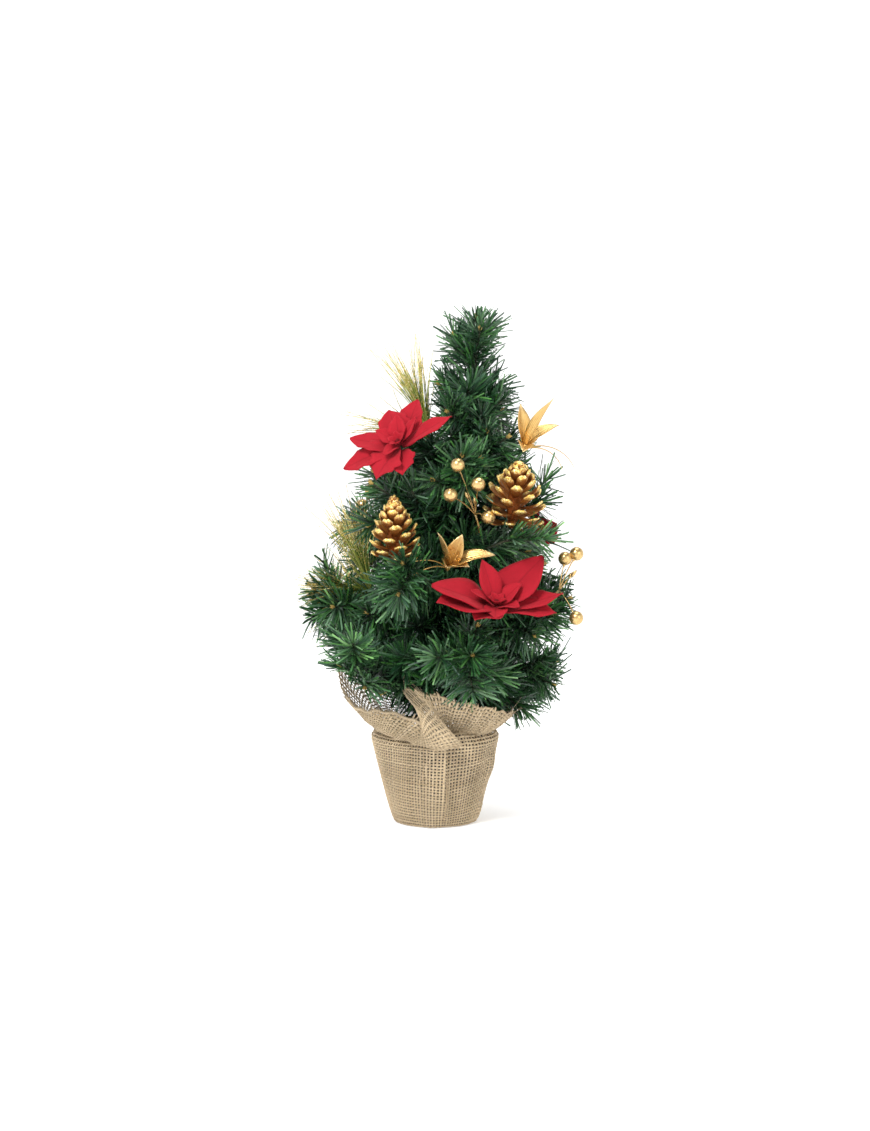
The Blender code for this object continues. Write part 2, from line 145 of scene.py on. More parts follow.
# The decorations of each kind, with their own shape: for a cone its radius, how much taller
# than the CAD one it is, and how far its lowest scales hang down (degrees); for a pine the
# needles of its fan that leans out
PLACES = {
    "poinsettia": {"front": (), "left": (), "back": ()},
    "lily": {"front": (), "right": (), "back": ()},
    "cone": {"left": (0.0200, 1.16, 0), "right": (0.0250, 0.96, 10), "back": (0.0205, 1.0, 4)},
    "berries": {"front": (), "right": (), "back": ()},
    "glitter_pine": {"left": (90,), "upper": (50,), "back": (70,)},
}


# ---------------------------------------------------------------- meshes


class Pile:
    """Faces gathered for one mesh, with a (shade, along, across) value on each point."""

    def __init__(self):
        self.points, self.faces, self.grain, self.kinds, self.count = [], [], [], [], 0

    def add(self, points, faces, grain, kind=0):
        points = np.asarray(points, float).reshape(-1, 3)
        grain = np.broadcast_to(np.asarray(grain, float), points.shape)
        for block in faces if isinstance(faces, list) else [faces]:
            self.faces.append(np.asarray(block) + self.count)
            self.kinds.append(np.full(len(block), kind))
        self.points.append(points)
        self.grain.append(grain)
        self.count += len(points)

    def build(self, name, looks, body, slot, replaces=(), smooth=True):
        """Writes the mesh, and puts the piece on its body."""
        mesh = bpy.data.meshes.new(name)
        points = np.concatenate(self.points)
        sizes = np.concatenate([np.full(len(block), block.shape[1]) for block in self.faces])
        loops = np.concatenate([block.reshape(-1) for block in self.faces])
        mesh.vertices.add(len(points))
        mesh.vertices.foreach_set("co", points.reshape(-1).astype(np.float32))
        mesh.loops.add(len(loops))
        mesh.loops.foreach_set("vertex_index", loops.astype(np.int32))
        mesh.polygons.add(len(sizes))
        starts = np.concatenate([[0], np.cumsum(sizes)[:-1]])
        mesh.polygons.foreach_set("loop_start", starts.astype(np.int32))
        mesh.polygons.foreach_set("material_index", np.concatenate(self.kinds).astype(np.int32))
        mesh.polygons.foreach_set("use_smooth", np.full(len(sizes), smooth))
        mesh.update(calc_edges=True)
        layer = mesh.attributes.new("grain", "FLOAT_VECTOR", "POINT")
        layer.data.foreach_set("vector", np.concatenate(self.grain).reshape(-1).astype(np.float32))
        for look in looks:
            mesh.materials.append(look)
        piece = bpy.data.objects.new(name, mesh)
        bpy.context.scene.collection.objects.link(piece)
        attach(piece, body)
        if replaces:
            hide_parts(*replaces)
        return piece


def strands(pile, centres, wide, thick, grain, sides=4, kind=0, ring=False):
    """Thin closed bodies along many lines at once: centres, half width and half thickness
    vectors are (lines, stations, 3). A ring joins its last station to its first."""
    lines, stations = centres.shape[:2]
    ridge = math.pi / 2 if sides == 3 else 0  # a three-sided one has its ridge up
    angles = math.tau * np.arange(sides) / sides + ridge
    around = wide[:, :, None] * np.cos(angles)[:, None] + thick[:, :, None] * np.sin(angles)[:, None]
    points = centres[:, :, None] + around
    last = stations if ring else stations - 1
    j, k = np.meshgrid(np.arange(last), np.arange(sides), indexing="ij")
    a, b = j * sides + k, j * sides + (k + 1) % sides
    over = ((j + 1) % stations) * sides
    one = np.stack([a, b, over + (k + 1) % sides, over + k], -1).reshape(-1, 4)
    shift = (np.arange(lines) * stations * sides)[:, None, None]
    faces = [(one + shift).reshape(-1, 4)]
    if not ring:
        near = np.arange(sides)[::-1]
        far = (stations - 1) * sides + np.arange(sides)
        faces.append((np.stack([near, far]) + shift).reshape(-1, sides))
    grain = np.broadcast_to(grain, centres.shape)
    pile.add(points, faces, np.repeat(grain.reshape(-1, 3), sides, axis=0), kind)


def grains(shade, along, across=0.0):
    """The (shade, along, across) value of each point."""
    return np.stack(np.broadcast_arrays(shade, along, across), -1)


def circle(angles):
    """Points at those angles on a level circle of radius 1."""
    return np.stack([np.cos(angles), np.sin(angles), 0 * angles], -1)


def rod(pile, path, radius, shade=0.5, sides=6, kind=0):
    """A round wire along one path, whose radius may change along it."""
    path = np.asarray(path, float)
    _, side, top = frames_along(path)
    radius = np.broadcast_to(radius, len(path))[:, None]
    grain = grains(shade, np.linspace(0, 1, len(path)))
    strands(pile, path[None], (side * radius)[None], (top * radius)[None], grain[None], sides, kind)


def frames_along(path):
    """Tangent and two crosswise directions at each point of a path."""
    tangent = unit(np.gradient(path, axis=0))
    side = np.cross(tangent[0], UP if abs(tangent[0][2]) < 0.9 else np.array([1.0, 0, 0]))
    sides, tops = [], []
    for t in tangent:
        side = unit(side - t * np.dot(side, t))
        sides.append(side)
        tops.append(np.cross(t, side))
    return tangent, np.array(sides), np.array(tops)


def resampled(path, count):
    """The same path with points evenly spaced along it."""
    steps = np.linalg.norm(np.diff(path, axis=0), axis=1)
    run = np.concatenate([[0], np.cumsum(steps)])
    at = np.linspace(0, run[-1], count)
    return np.stack([np.interp(at, run, path[:, k]) for k in range(3)], -1), run[-1]


def bezier(a, b, c, count=24):
    t = np.linspace(0, 1, count)[:, None]
    return (1 - t) ** 2 * np.asarray(a) + 2 * t * (1 - t) * np.asarray(b) + t**2 * np.asarray(c)


def twisted(pile, path, radius, pitch, plies=2, shade=0.5, kind=0, sides=5):
    """Strands twisted round one another along a path, as in a wire or a twine."""
    _, length = resampled(path, 2)
    path, _ = resampled(path, max(6, int(length / pitch * 7)))
    _, side, top = frames_along(path)
    turn = np.linspace(0, math.tau * length / pitch, len(path))
    for ply in range(plies):
        angle = (turn + math.tau * ply / plies)[:, None]
        offset = side * np.cos(angle) + top * np.sin(angle)
        rod(pile, path + offset * radius * 0.9, radius, shade, sides, kind)


def slab(pile, grid, thickness, grain, kind=0):
    """A closed thin sheet over a grid of points, thickness / 2 to each side of it."""
    rows, columns = grid.shape[:2]
    normal = unit(np.cross(np.gradient(grid, axis=1), np.gradient(grid, axis=0)))
    half = np.broadcast_to(np.asarray(thickness) / 2, (rows, columns))[..., None]
    points = np.concatenate([(grid + normal * half).reshape(-1, 3), (grid - normal * half).reshape(-1, 3)])
    i, j = np.meshgrid(np.arange(rows - 1), np.arange(columns - 1), indexing="ij")
    a = (i * columns + j).reshape(-1)
    top = np.stack([a, a + 1, a + columns + 1, a + columns], -1)
    under = top[:, ::-1] + rows * columns
    border = np.concatenate([
        np.arange(columns),
        np.arange(1, rows) * columns + columns - 1,
        (rows - 1) * columns + np.arange(columns - 2, -1, -1),
        np.arange(rows - 2, 0, -1) * columns,
    ])
    after = np.roll(border, -1)
    rim = np.stack([after, border, border + rows * columns, after + rows * columns], -1)
    grain = np.broadcast_to(grain, (rows, columns, 3)).reshape(-1, 3)
    pile.add(points, [np.concatenate([top, under, rim])], np.concatenate([grain, grain]), kind)


def lathe(pile, profile, matrix, segments=20, grain=(0.5, 0, 0), kind=0, wobble=0.0):
    """A turned closed body: (radius, height) pairs from the bottom pole to the top pole."""
    profile = np.asarray(profile, float)
    angle = math.tau * np.arange(segments) / segments
    inner = profile[1:-1]
    ring = circle(angle) * (1 + wobble * np.sin(2 * angle))[:, None]
    rings = ring[None] * inner[:, 0, None, None] + UP * inner[:, 1, None, None]
    points = np.concatenate([[[0, 0, profile[0, 1]]], rings.reshape(-1, 3), [[0, 0, profile[-1, 1]]]])
    k = np.arange(segments)
    j = (k + 1) % segments
    bottom = np.stack([k * 0, j + 1, k + 1], -1)
    last = 1 + (len(inner) - 1) * segments
    top = np.stack([k * 0 + len(points) - 1, last + k, last + j], -1)
    sides = [np.stack([s + k, s + j, s + segments + j, s + segments + k], -1)
             for s in 1 + segments * np.arange(len(inner) - 1)]
    points = points @ np.array(matrix)[:3, :3].T + np.array(matrix)[:3, 3]
    faces = [bottom, top] + ([np.concatenate(sides)] if sides else [])
    pile.add(points, faces, grain, kind)


def axes_at(origin, forward):
    """A 4 x 4 matrix whose +Z runs along forward."""
    matrix = np.array(Vector(forward).to_track_quat("Z", "Y").to_matrix().to_4x4())
    matrix[:3, 3] = origin
    return matrix


def moved(points, matrix):
    return points @ matrix[:3, :3].T + matrix[:3, 3]


def raised(matrix, height):
    """The same axes, that far along their own +Z."""
    matrix = matrix.copy()
    matrix[:3, 3] += matrix[:3, 2] * height
    return matrix


# ---------------------------------------------------------------- what the frame says


def node_points(node):
    return np.array([v.co for v in NODES[node].data.vertices])


def fans(node, spokes):
    """(point, mean of its neighbours) wherever that many edges meet, as at a hub or a pole."""
    mesh = NODES[node].data
    points = node_points(node)
    rounded = np.round(points * 1e5).astype(int)
    _, first, index = np.unique(rounded, axis=0, return_index=True, return_inverse=True)
    index = index.reshape(-1)
    near = {}
    for polygon in mesh.polygons:
        corners = [index[i] for i in polygon.vertices]
        for corner in corners:
            near.setdefault(corner, set()).update(c for c in corners if c != corner)
    found = [(len(others), points[first[a]], points[first[sorted(others)]].mean(0))
             for a, others in sorted(near.items()) if len(others) >= spokes]
    return sorted(found, key=lambda item: -item[0])


def flower_axes(node):
    """Hub and facing of a cupped star, from the fan of faces at its middle."""
    _, hub, around = fans(node, 12)[0]
    return axes_at(hub, unit(around - hub))


def cone_axes(node):
    """Foot and axis of a turned cone, from the fan at its top."""
    for _, apex, around in fans(node, 12):
        if apex[2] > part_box(node)[1][2] - 0.004:
            axis = unit(apex - around)
            down = apex - node_points(node)
            height = (down @ axis)[np.linalg.norm(np.cross(down, axis), axis=1) > 0.008].max()
            return axes_at(apex - axis * height, axis), height


def berry_centres(node):
    return [pole - UP * BERRY_RADIUS for _, pole, around in fans(node, 10)
            if around[2] < pole[2] - 0.0003 and np.linalg.norm((around - pole)[:2]) < 0.0003]


def branch_path(body, node):
    """The wire of a branch, from its hinge through the middle of its CAD brush to its tip."""
    hinge = np.array(JOINTS[body]["pos_m"])
    points = node_points(node)
    if body == "leader":
        out = unit(points[np.argmax(points[:, 2])] - hinge)
        out = unit(points[(points - hinge) @ out > 0.04].mean(0) - hinge)
    else:
        axis = np.array(JOINTS[body]["axis"])
        out = np.array([-axis[1], axis[0], 0.0])
    reach = (points - hinge) @ out
    tip = points[reach > reach.max() * 0.985].mean(0)
    bend = points[(reach > reach.max() * 0.62) & (reach < reach.max() * 0.78)].mean(0)
    return bezier(hinge, bend, tip)


# ---------------------------------------------------------------- materials


class Look:
    """Builds one procedural material."""

    def __init__(self, name, **constants):
        self.material = bpy.data.materials.new(name)
        self.material.use_nodes = True
        self.tree = self.material.node_tree
        self.shader = self.tree.nodes["Principled BSDF"]
        for key, value in constants.items():
            self.shader.inputs[key.replace("_", " ")].default_value = value
        stored = self.new("ShaderNodeAttribute", attribute_name="grain").outputs["Vector"]
        self.shade, self.along, self.across = self.new("ShaderNodeSeparateXYZ", Vector=stored).outputs
        self.place = self.new("ShaderNodeTexCoord").outputs["Object"]

    def new(self, kind, **settings):
        node = self.tree.nodes.new(kind)
        for key, value in settings.items():
            if isinstance(value, bpy.types.NodeSocket):
                self.tree.links.new(value, node.inputs[key])
            elif key in node.inputs and not hasattr(node, key):
                node.inputs[key].default_value = value
            else:
                setattr(node, key, value)
        return node

    def ramp(self, factor, *stops):
        node = self.new("ShaderNodeValToRGB", Fac=factor)
        elements = node.color_ramp.elements
        while len(elements) < len(stops):
            elements.new(0.5)
        for element, (position, colour) in zip(elements, stops):
            element.position = position
            element.color = (*colour, 1) if isinstance(colour, tuple) else (colour, colour, colour, 1)
        return node.outputs["Color"]

    def noise(self, scale, detail=3.0, stretch=None):
        vector = self.place
        if stretch:
            vector = self.new("ShaderNodeMapping", Vector=vector, Scale=stretch).outputs["Vector"]
        return self.new("ShaderNodeTexNoise", Vector=vector, Scale=scale, Detail=detail).outputs["Fac"]

    def cells(self, scale):
        return self.new("ShaderNodeTexVoronoi", Vector=self.place, Scale=scale).outputs["Color"]

    def filled(self, node, numbers, values):
        """Links or sets those inputs of a node."""
        for number, value in zip(numbers, values):
            if isinstance(value, bpy.types.NodeSocket):
                self.tree.links.new(value, node.inputs[number])
            else:
                node.inputs[number].default_value = (*value, 1) if isinstance(value, tuple) else value
        return node

    def math(self, operation, *values):
        return self.filled(self.new("ShaderNodeMath", operation=operation), (0, 1, 2), values).outputs[0]

    def mix(self, factor, a, b, blend="MIX"):
        node = self.new("ShaderNodeMix", data_type="RGBA", blend_type=blend)
        return self.filled(node, (0, 6, 7), (factor, a, b)).outputs[2]

    def set(self, colour, roughness, bump, distance, strength):
        bumps = self.new("ShaderNodeBump", Height=bump, Distance=distance, Strength=strength)
        for key, value in (("Base Color", colour), ("Roughness", roughness), ("Normal", bumps.outputs[0])):
            self.tree.links.new(value, self.shader.inputs[key])
        return self.material


def needle_look():
    look = Look("needle_film", Specular_IOR_Level=0.55)
    # each needle's own tone at random; the blue-grey stop at 0.88 and the light green at 1.0 are partly real
    # tones and partly painted highlights of glossy needles
    tone = look.ramp(
        look.shade,
        (0.0, (0.0040, 0.018, 0.010)),
        (0.26, (0.0075, 0.042, 0.014)),
        (0.44, (0.026, 0.110, 0.020)),
        (0.58, (0.030, 0.062, 0.046)),
        (0.74, (0.066, 0.215, 0.038)),
        (0.88, (0.105, 0.185, 0.120)),
        (1.0, (0.200, 0.420, 0.130)),
    )
    streak = look.noise(900, 4.0)
    worn = look.mix(look.math("MULTIPLY", streak, 0.35), tone, (0.03, 0.10, 0.035))
    # painted shade and light: each needle darker towards its root at the wire, a little lighter at its tip
    root = look.ramp(look.along, (0.0, 0.35), (0.5, 0.9), (1.0, 1.15))
    colour = look.mix(1.0, worn, root, "MULTIPLY")
    rough = look.ramp(streak, (0.3, 0.26), (0.75, 0.46))
    return look.set(colour, rough, streak, 0.0001, 0.35)


def felt_look():
    look = Look("red_felt", Sheen_Weight=0.12, Sheen_Roughness=0.4, Sheen_Tint=(1.0, 0.3, 0.3, 1),
                Specular_IOR_Level=0.2)
    fibre = look.noise(1500, 5.0)
    blotch = look.noise(55, 3.0)
    base = look.mix(blotch, (0.22, 0.003, 0.009), (0.35, 0.006, 0.016))
    base = look.mix(look.ramp(fibre, (0.35, 0.0), (0.75, 0.45)), base, (0.43, 0.012, 0.026))
    # painted shade: each petal darker towards its base, in the flower's cup
    base = look.mix(1.0, base, look.ramp(look.along, (0.0, 0.55), (0.35, 1.0)), "MULTIPLY")
    vein = look.ramp(look.math("ABSOLUTE", look.across), (0.0, 0.72), (0.07, 1.0))
    rough = look.ramp(fibre, (0.3, 0.72), (0.7, 0.95))
    return look.set(look.mix(1.0, base, vein, "MULTIPLY"), rough, fibre, 0.0002, 0.5)


def foil_look():
    look = Look("gold_foil", Metallic=0.82)
    lines = look.math("SINE", look.math("MULTIPLY", look.across, 34.0))
    mottle = look.noise(160, 4.0)
    tone = look.math("MULTIPLY_ADD", lines, 0.25, look.math("MULTIPLY", mottle, 0.8))
    base = look.mix(tone, (0.44, 0.23, 0.045), (0.86, 0.58, 0.20))
    base = look.mix(look.ramp(look.along, (0.0, 0.0), (0.8, 0.15), (1.0, 0.55)), base, (0.95, 0.80, 0.50))
    rough = look.ramp(mottle, (0.3, 0.20), (0.7, 0.40))
    return look.set(base, rough, look.math("ADD", lines, mottle), 0.0002, 0.45)


def scale_look():
    look = Look("cone_scales", Metallic=0.55)
    grain = look.noise(420, 4.0)
    wood = look.mix(grain, (0.10, 0.026, 0.006), (0.36, 0.115, 0.022))
    wood = look.mix(look.math("MULTIPLY", look.shade, 0.4), wood, (0.55, 0.24, 0.05))
    specks = look.cells(1500)
    stops = (0.30, (0.50, 0.28, 0.045)), (0.55, (0.95, 0.66, 0.14)), (0.80, (1.0, 0.90, 0.50))
    edge = look.math("ADD", look.along, look.math("MULTIPLY_ADD", look.noise(300), 0.5, -0.25))
    colour = look.mix(look.ramp(edge, (0.77, 0.0), (0.95, 1.0)), wood, look.ramp(specks, *stops))
    return look.set(colour, look.ramp(specks, (0.2, 0.28), (0.9, 0.55)), specks, 0.0003, 0.6)


def berry_look():
    look = Look("satin_berry", Metallic=0.88, Coat_Weight=0.25, Coat_Roughness=0.25)
    mottle = look.noise(260, 4.0)
    colour = look.mix(mottle, (0.44, 0.28, 0.10), (0.74, 0.53, 0.23))
    rough = look.ramp(mottle, (0.3, 0.20), (0.7, 0.34))
    return look.set(colour, rough, look.noise(1600, 2.0), 0.0001, 0.25)


def glitter_look():
    look = Look("glitter_needles", Metallic=0.25)
    greens = (0.0, (0.030, 0.070, 0.010)), (0.50, (0.150, 0.210, 0.030)), (1.0, (0.42, 0.46, 0.10))
    golds = (0.4, (0.40, 0.27, 0.05)), (0.62, (0.85, 0.66, 0.20)), (0.85, (1.0, 0.95, 0.70))
    specks = look.cells(1400)
    edge = look.math("ADD", look.math("MULTIPLY", look.along, 0.45), look.noise(500, 2.0))
    dust = look.ramp(edge, (0.74, 0.0), (0.84, 1.0))
    colour = look.mix(dust, look.ramp(look.shade, *greens), look.ramp(specks, *golds))
    return look.set(colour, look.ramp(specks, (0.3, 0.25), (0.8, 0.6)), specks, 0.0002, 0.5)


def jute_look(name, dark, light, twist=2600.0):
    look = Look(name, Specular_IOR_Level=0.2, Sheen_Weight=0.15, Sheen_Roughness=0.5)
    fibre = look.noise(1100, 6.0)
    ply = look.math("SINE", look.math("MULTIPLY_ADD", look.along, twist, look.math("MULTIPLY", fibre, 5.0)))
    pale = look.math("MULTIPLY_ADD", look.shade, 0.65, look.math("MULTIPLY", fibre, 0.4))
    tone = look.mix(pale, dark, light)
    patch = look.ramp(look.noise(38, 3.0), (0.3, 0.82), (0.7, 1.1))
    tone = look.mix(1.0, tone, patch, "MULTIPLY")
    # painted shade: darker in the grooves between the plies of the twist
    tone = look.mix(look.math("MULTIPLY_ADD", ply, -0.12, 0.12), tone, dark)
    height = look.math("ADD", look.math("MULTIPLY", ply, 0.35), fibre)
    return look.set(tone, look.ramp(fibre, (0.3, 0.78), (0.7, 0.98)), height, 0.0003, 0.8)


def plain_look(name, dark, light, scale, roughness, bump=0.4, metallic=0.0, stretch=None):
    look = Look(name, Metallic=metallic)
    noise = look.noise(scale, 5.0, stretch)
    fine = look.noise(scale * 6, 3.0, stretch)
    both = look.math("MULTIPLY_ADD", fine, 0.4, look.math("MULTIPLY", noise, 0.7))
    rough = look.ramp(noise, (0.3, roughness - 0.08), (0.7, roughness + 0.08))
    return look.set(look.mix(both, dark, light), rough, both, 0.0002, bump)


NEEDLES = needle_look()
WIRE = plain_look("wire_tape", (0.010, 0.022, 0.010), (0.045, 0.040, 0.018), 300, 0.55)
BUD = plain_look("bud_tips", (0.24, 0.15, 0.035), (0.60, 0.44, 0.13), 500, 0.6, 0.6)
FELT = felt_look()
FOIL = foil_look()
SCALES = scale_look()
BERRY = berry_look()
GLITTER = glitter_look()
JUTE = jute_look("jute_yarn", (0.34, 0.25, 0.14), (0.68, 0.54, 0.36))
TWINE = jute_look("jute_twine", (0.24, 0.145, 0.06), (0.58, 0.40, 0.21), 900.0)
TAPE = plain_look("floral_tape", (0.008, 0.026, 0.012), (0.022, 0.066, 0.028), 220, 0.62, 0.7, 0.0, (1, 1, 6))
PLASTIC = plain_look("black_plastic", (0.012, 0.011, 0.010), (0.030, 0.028, 0.026), 120, 0.48)
CEMENT = plain_look("cement_cast", (0.30, 0.295, 0.28), (0.50, 0.49, 0.465), 90, 0.9, 0.9)


# ---------------------------------------------------------------- flowers


def leaf(pile, hub, angle, length, width, cup, curl, rng, lobes=0.0, fold=0.25, ruffle=0.0, start=0.0,
         thickness=0.0005, rows=15, columns=9, twist=0.0, kind=0, belly=0.9, neck=0.16):
    """One pointed petal: outline, then a bend along its length, a fold along its midrib and wavy edges."""
    t = np.linspace(0, 1, rows)
    c = np.linspace(-1, 1, columns)
    body = np.sin(math.pi * np.clip(t, 0, 1) ** belly) ** 0.85
    outline = np.maximum(neck * (1 - t) ** 0.5, body)
    if lobes:
        for place, size in ((0.46, 0.55), (0.70, 0.40)):
            outline = outline + lobes * size * np.maximum(0, 1 - np.abs(t - place) / 0.10)
    outline = np.maximum(outline * (1 - 0.12 * lobes), 0.03)
    pitch = cup + curl * t
    step = length / (rows - 1)
    out = start + np.concatenate([[0], np.cumsum(np.cos((pitch[1:] + pitch[:-1]) / 2) * step)])
    lift = np.concatenate([[0], np.cumsum(np.sin((pitch[1:] + pitch[:-1]) / 2) * step)])
    across = outline[:, None] * c * width / 2
    phase = rng.uniform(0, math.tau, 2)
    wave = ruffle * np.abs(c) ** 2 * np.sin(9 * t[:, None] + phase[0] + 2.2 * np.sign(c))
    ribs = -0.00022 * np.exp(-((c / 0.09) ** 2)) * np.sin(math.pi * t[:, None])
    side_veins = 0.00016 * np.sin(26 * (t[:, None] - 0.35 * np.abs(c))) * np.abs(c) * (1 - np.abs(c)) * 3
    proud = fold * np.abs(across) + wave + ribs + side_veins
    roll = twist * t[:, None]
    local_side = across * np.cos(roll) - proud * np.sin(roll)
    local_up = across * np.sin(roll) + proud * np.cos(roll)
    radial, lateral = circle(np.array([angle, angle + math.pi / 2]))
    normal_out, normal_up = -np.sin(pitch)[:, None], np.cos(pitch)[:, None]
    grid = (radial * (out[:, None] + normal_out * local_up)[..., None]
            + UP * (lift[:, None] + normal_up * local_up)[..., None] + lateral * local_side[..., None])
    slab(pile, moved(grid, hub), thickness, grains(rng.uniform(0, 1), t[:, None], c), kind)


# Petals of the two flowers that show, as (angle, length, width, cup, curl, lobes), angles in
# degrees from the flower's own +X. The third takes the first one's, smaller.
OUTER_PETALS = {
    "poinsettia_front": (
        (37, 0.062, 0.040, 38, -16, 0.0),
        (176, 0.058, 0.040, 30, -16, 0.0),
        (-170, 0.053, 0.040, 18, -10, 0.0),
        (-3, 0.056, 0.026, 14, 8, 0.3),
        (-16, 0.049, 0.026, 16, -22, 0.2),
        (-132, 0.031, 0.030, 16, -16, 0.0),
    ),
    "poinsettia_left": (
        (86, 0.045, 0.027, 22, -14, 0.35),
        (27, 0.052, 0.017, 18, -8, 0.30),
        (122, 0.037, 0.028, 24, -10, 0.45),
        (176, 0.051, 0.024, 14, -12, 0.35),
        (-157, 0.055, 0.027, 8, -26, 0.45),
        (-108, 0.035, 0.031, 6, -24, 0.85),
        (-66, 0.029, 0.024, 6, -24, 0.60),
    ),
}
INNER_PETALS = {
    "poinsettia_front": (
        (109, 0.040, 0.020, 50, -10, 0.0),
        (-104, 0.024, 0.020, 14, -12, 0.0),
        (178, 0.026, 0.017, 40, -10, 0.0),
        (20, 0.027, 0.018, 42, -8, 0.0),
        (-40, 0.022, 0.017, 26, -10, 0.0),
    ),
    "poinsettia_left": (
        (60, 0.027, 0.012, 26, -6, 0.2),
        (106, 0.026, 0.016, 38, -14, 0.3),
        (162, 0.025, 0.013, 30, -10, 0.3),
        (-112, 0.017, 0.013, 26, -20, 0.2),
    ),
}
BACK_SHARE = 0.64
for petals in (OUTER_PETALS, INNER_PETALS):
    petals["poinsettia_back"] = tuple(
        (angle, BACK_SHARE * length, BACK_SHARE * width, *rest)
        for angle, length, width, *rest in petals["poinsettia_front"]
    )


STEM_RADIUS = 0.0009


def lowest(name, up):
    """The foot of a CAD solid that stands along up."""
    points = node_points(name)
    return points[np.argsort(points @ up)[:4]].mean(0)


def stem(pile, hub, begin, foot, sag=0.0, count=8):
    """The taped wire from that far in front of a hub to the foot of its CAD solid."""
    centre = hub[:3, 3]
    path = bezier(centre + hub[:3, 2] * begin, (centre + foot) / 2 - UP * sag, foot, count)
    rod(pile, path, STEM_RADIUS, kind=1)


def make_poinsettia(name, seed):
    rng = np.random.default_rng(seed)
    body = BODY_OF[name + "_outer"]
    hub = flower_axes(name + "_outer")
    outer = Pile()
    radians = math.radians
    for number, (angle, length, width, cup, curl, lobes) in enumerate(OUTER_PETALS[name]):
        lift = raised(hub, 0.0011 * (number % 3))
        leaf(outer, lift, radians(angle), length, width, radians(cup), radians(curl), rng, lobes,
             fold=0.20, ruffle=0.0014, start=0.0015, thickness=0.00055, twist=rng.uniform(-0.2, 0.2))
    stem(outer, hub, -0.001, lowest(name + "_outer", hub[:3, 2]), 0.004, 10)
    calyx = (0, -0.004), (0.002, -0.0035), (0.0035, -0.001), (0.003, 0.0005), (0, 0.001)
    lathe(outer, calyx, hub, 12, kind=1)
    outer.build(name + "_outer_petals", [FELT, TAPE], body, "red_felt", [name + "_outer"])

    inner = Pile()
    lift = raised(hub, 0.0042)
    for angle, length, width, cup, curl, lobes in INNER_PETALS[name]:
        leaf(inner, lift, radians(angle), length, width, radians(cup), radians(curl), rng, lobes,
             fold=0.30, ruffle=0.0007, start=0.001, rows=13, columns=7)
    lift = raised(hub, 0.0064)
    for k in range(5):
        leaf(inner, lift, radians(72 * k + 40), 0.0100, 0.0080, radians(52), radians(-14), rng,
             fold=0.3, ruffle=0.0005, start=0.001, rows=9, columns=5)
    grain_of_pollen = (0, -0.001), (0.0008, -0.0006), (0.001, 0.0003), (0.0006, 0.001), (0, 0.0013)
    for k in range(7):
        reach = 0.0018 * math.sqrt(k / 7)
        at = np.array([reach * math.cos(k * GOLDEN), reach * math.sin(k * GOLDEN), 0.0088])
        lathe(inner, grain_of_pollen, axes_at(moved(at, hub), hub[:3, 2]), 8)
    inner.build(name + "_inner_petals", [FELT], body, "red_felt", [name + "_inner"])


# Petals of a lily, and its two long curved stems, as angle, length, cup and curl in degrees
LILY_PETALS = {
    "lily_front": (
        (170, 0.041, 66, -8),
        (48, 0.031, 74, -4),
        (-20, 0.041, 54, -38),
        (-60, 0.022, 50, -20),
        (-130, 0.023, 46, -16),
    ),
    "lily_right": (
        (-95, 0.053, 74, -8),
        (-17, 0.037, 56, -36),
        (81, 0.038, 62, 0),
        (-143, 0.026, 26, -50),
        (30, 0.024, 36, -30),
    ),
}
LILY_STEMS = {
    "lily_front": ((184, 0.046, 46, -64), (-166, 0.044, 36, -70)),
    "lily_right": ((-30, 0.046, 24, -84), (-42, 0.052, 34, -84)),
}
for places in (LILY_PETALS, LILY_STEMS):
    places["lily_back"] = places["lily_front"]


def make_lily(name, seed):
    rng = np.random.default_rng(seed)
    hub = flower_axes(name)
    pile = Pile()
    radians = math.radians
    for angle, length, cup, curl in LILY_PETALS[name]:
        leaf(pile, hub, radians(angle), length, 0.0150, radians(cup), radians(curl), rng,
             fold=0.55, ruffle=0.0004, start=0.0012, thickness=0.0004, rows=16, columns=7,
             twist=rng.uniform(-0.35, 0.35), belly=0.8, neck=0.22)
    for angle, length, cup, curl in LILY_STEMS[name]:
        t = np.linspace(0, 1, 18)
        pitch = radians(cup) + radians(curl) * t
        out = np.cumsum(np.cos(pitch)) * length / 18
        up = np.cumsum(np.sin(pitch)) * length / 18
        path = circle(np.full(18, radians(angle))) * out[:, None] + UP * (up - 0.002)[:, None]
        rod(pile, moved(path, hub), 0.00055 * (1.15 - 0.7 * t), 0.6)
    anther = (0, -0.0012), (0.0006, -0.0006), (0.0007, 0.0004), (0, 0.0012)
    for k in range(5):
        aside = np.array([math.cos(k * GOLDEN), math.sin(k * GOLDEN), 0])
        path = moved(bezier(UP * 0, 0.002 * aside + 0.008 * UP, 0.005 * aside + 0.013 * UP, 8), hub)
        rod(pile, path, 0.0003, 0.7)
        lathe(pile, anther, axes_at(path[-1], (0.3, 0, 1)), 8)
    stem(pile, hub, 0.001, lowest(name, hub[:3, 2]))
    lathe(pile, ((0, -0.004), (0.0018, -0.003), (0.0026, 0.0005), (0.0018, 0.003), (0, 0.0035)), hub, 12)
    pile.build(name + "_petals", [FOIL, TAPE], BODY_OF[name], "gold_foil", [name])


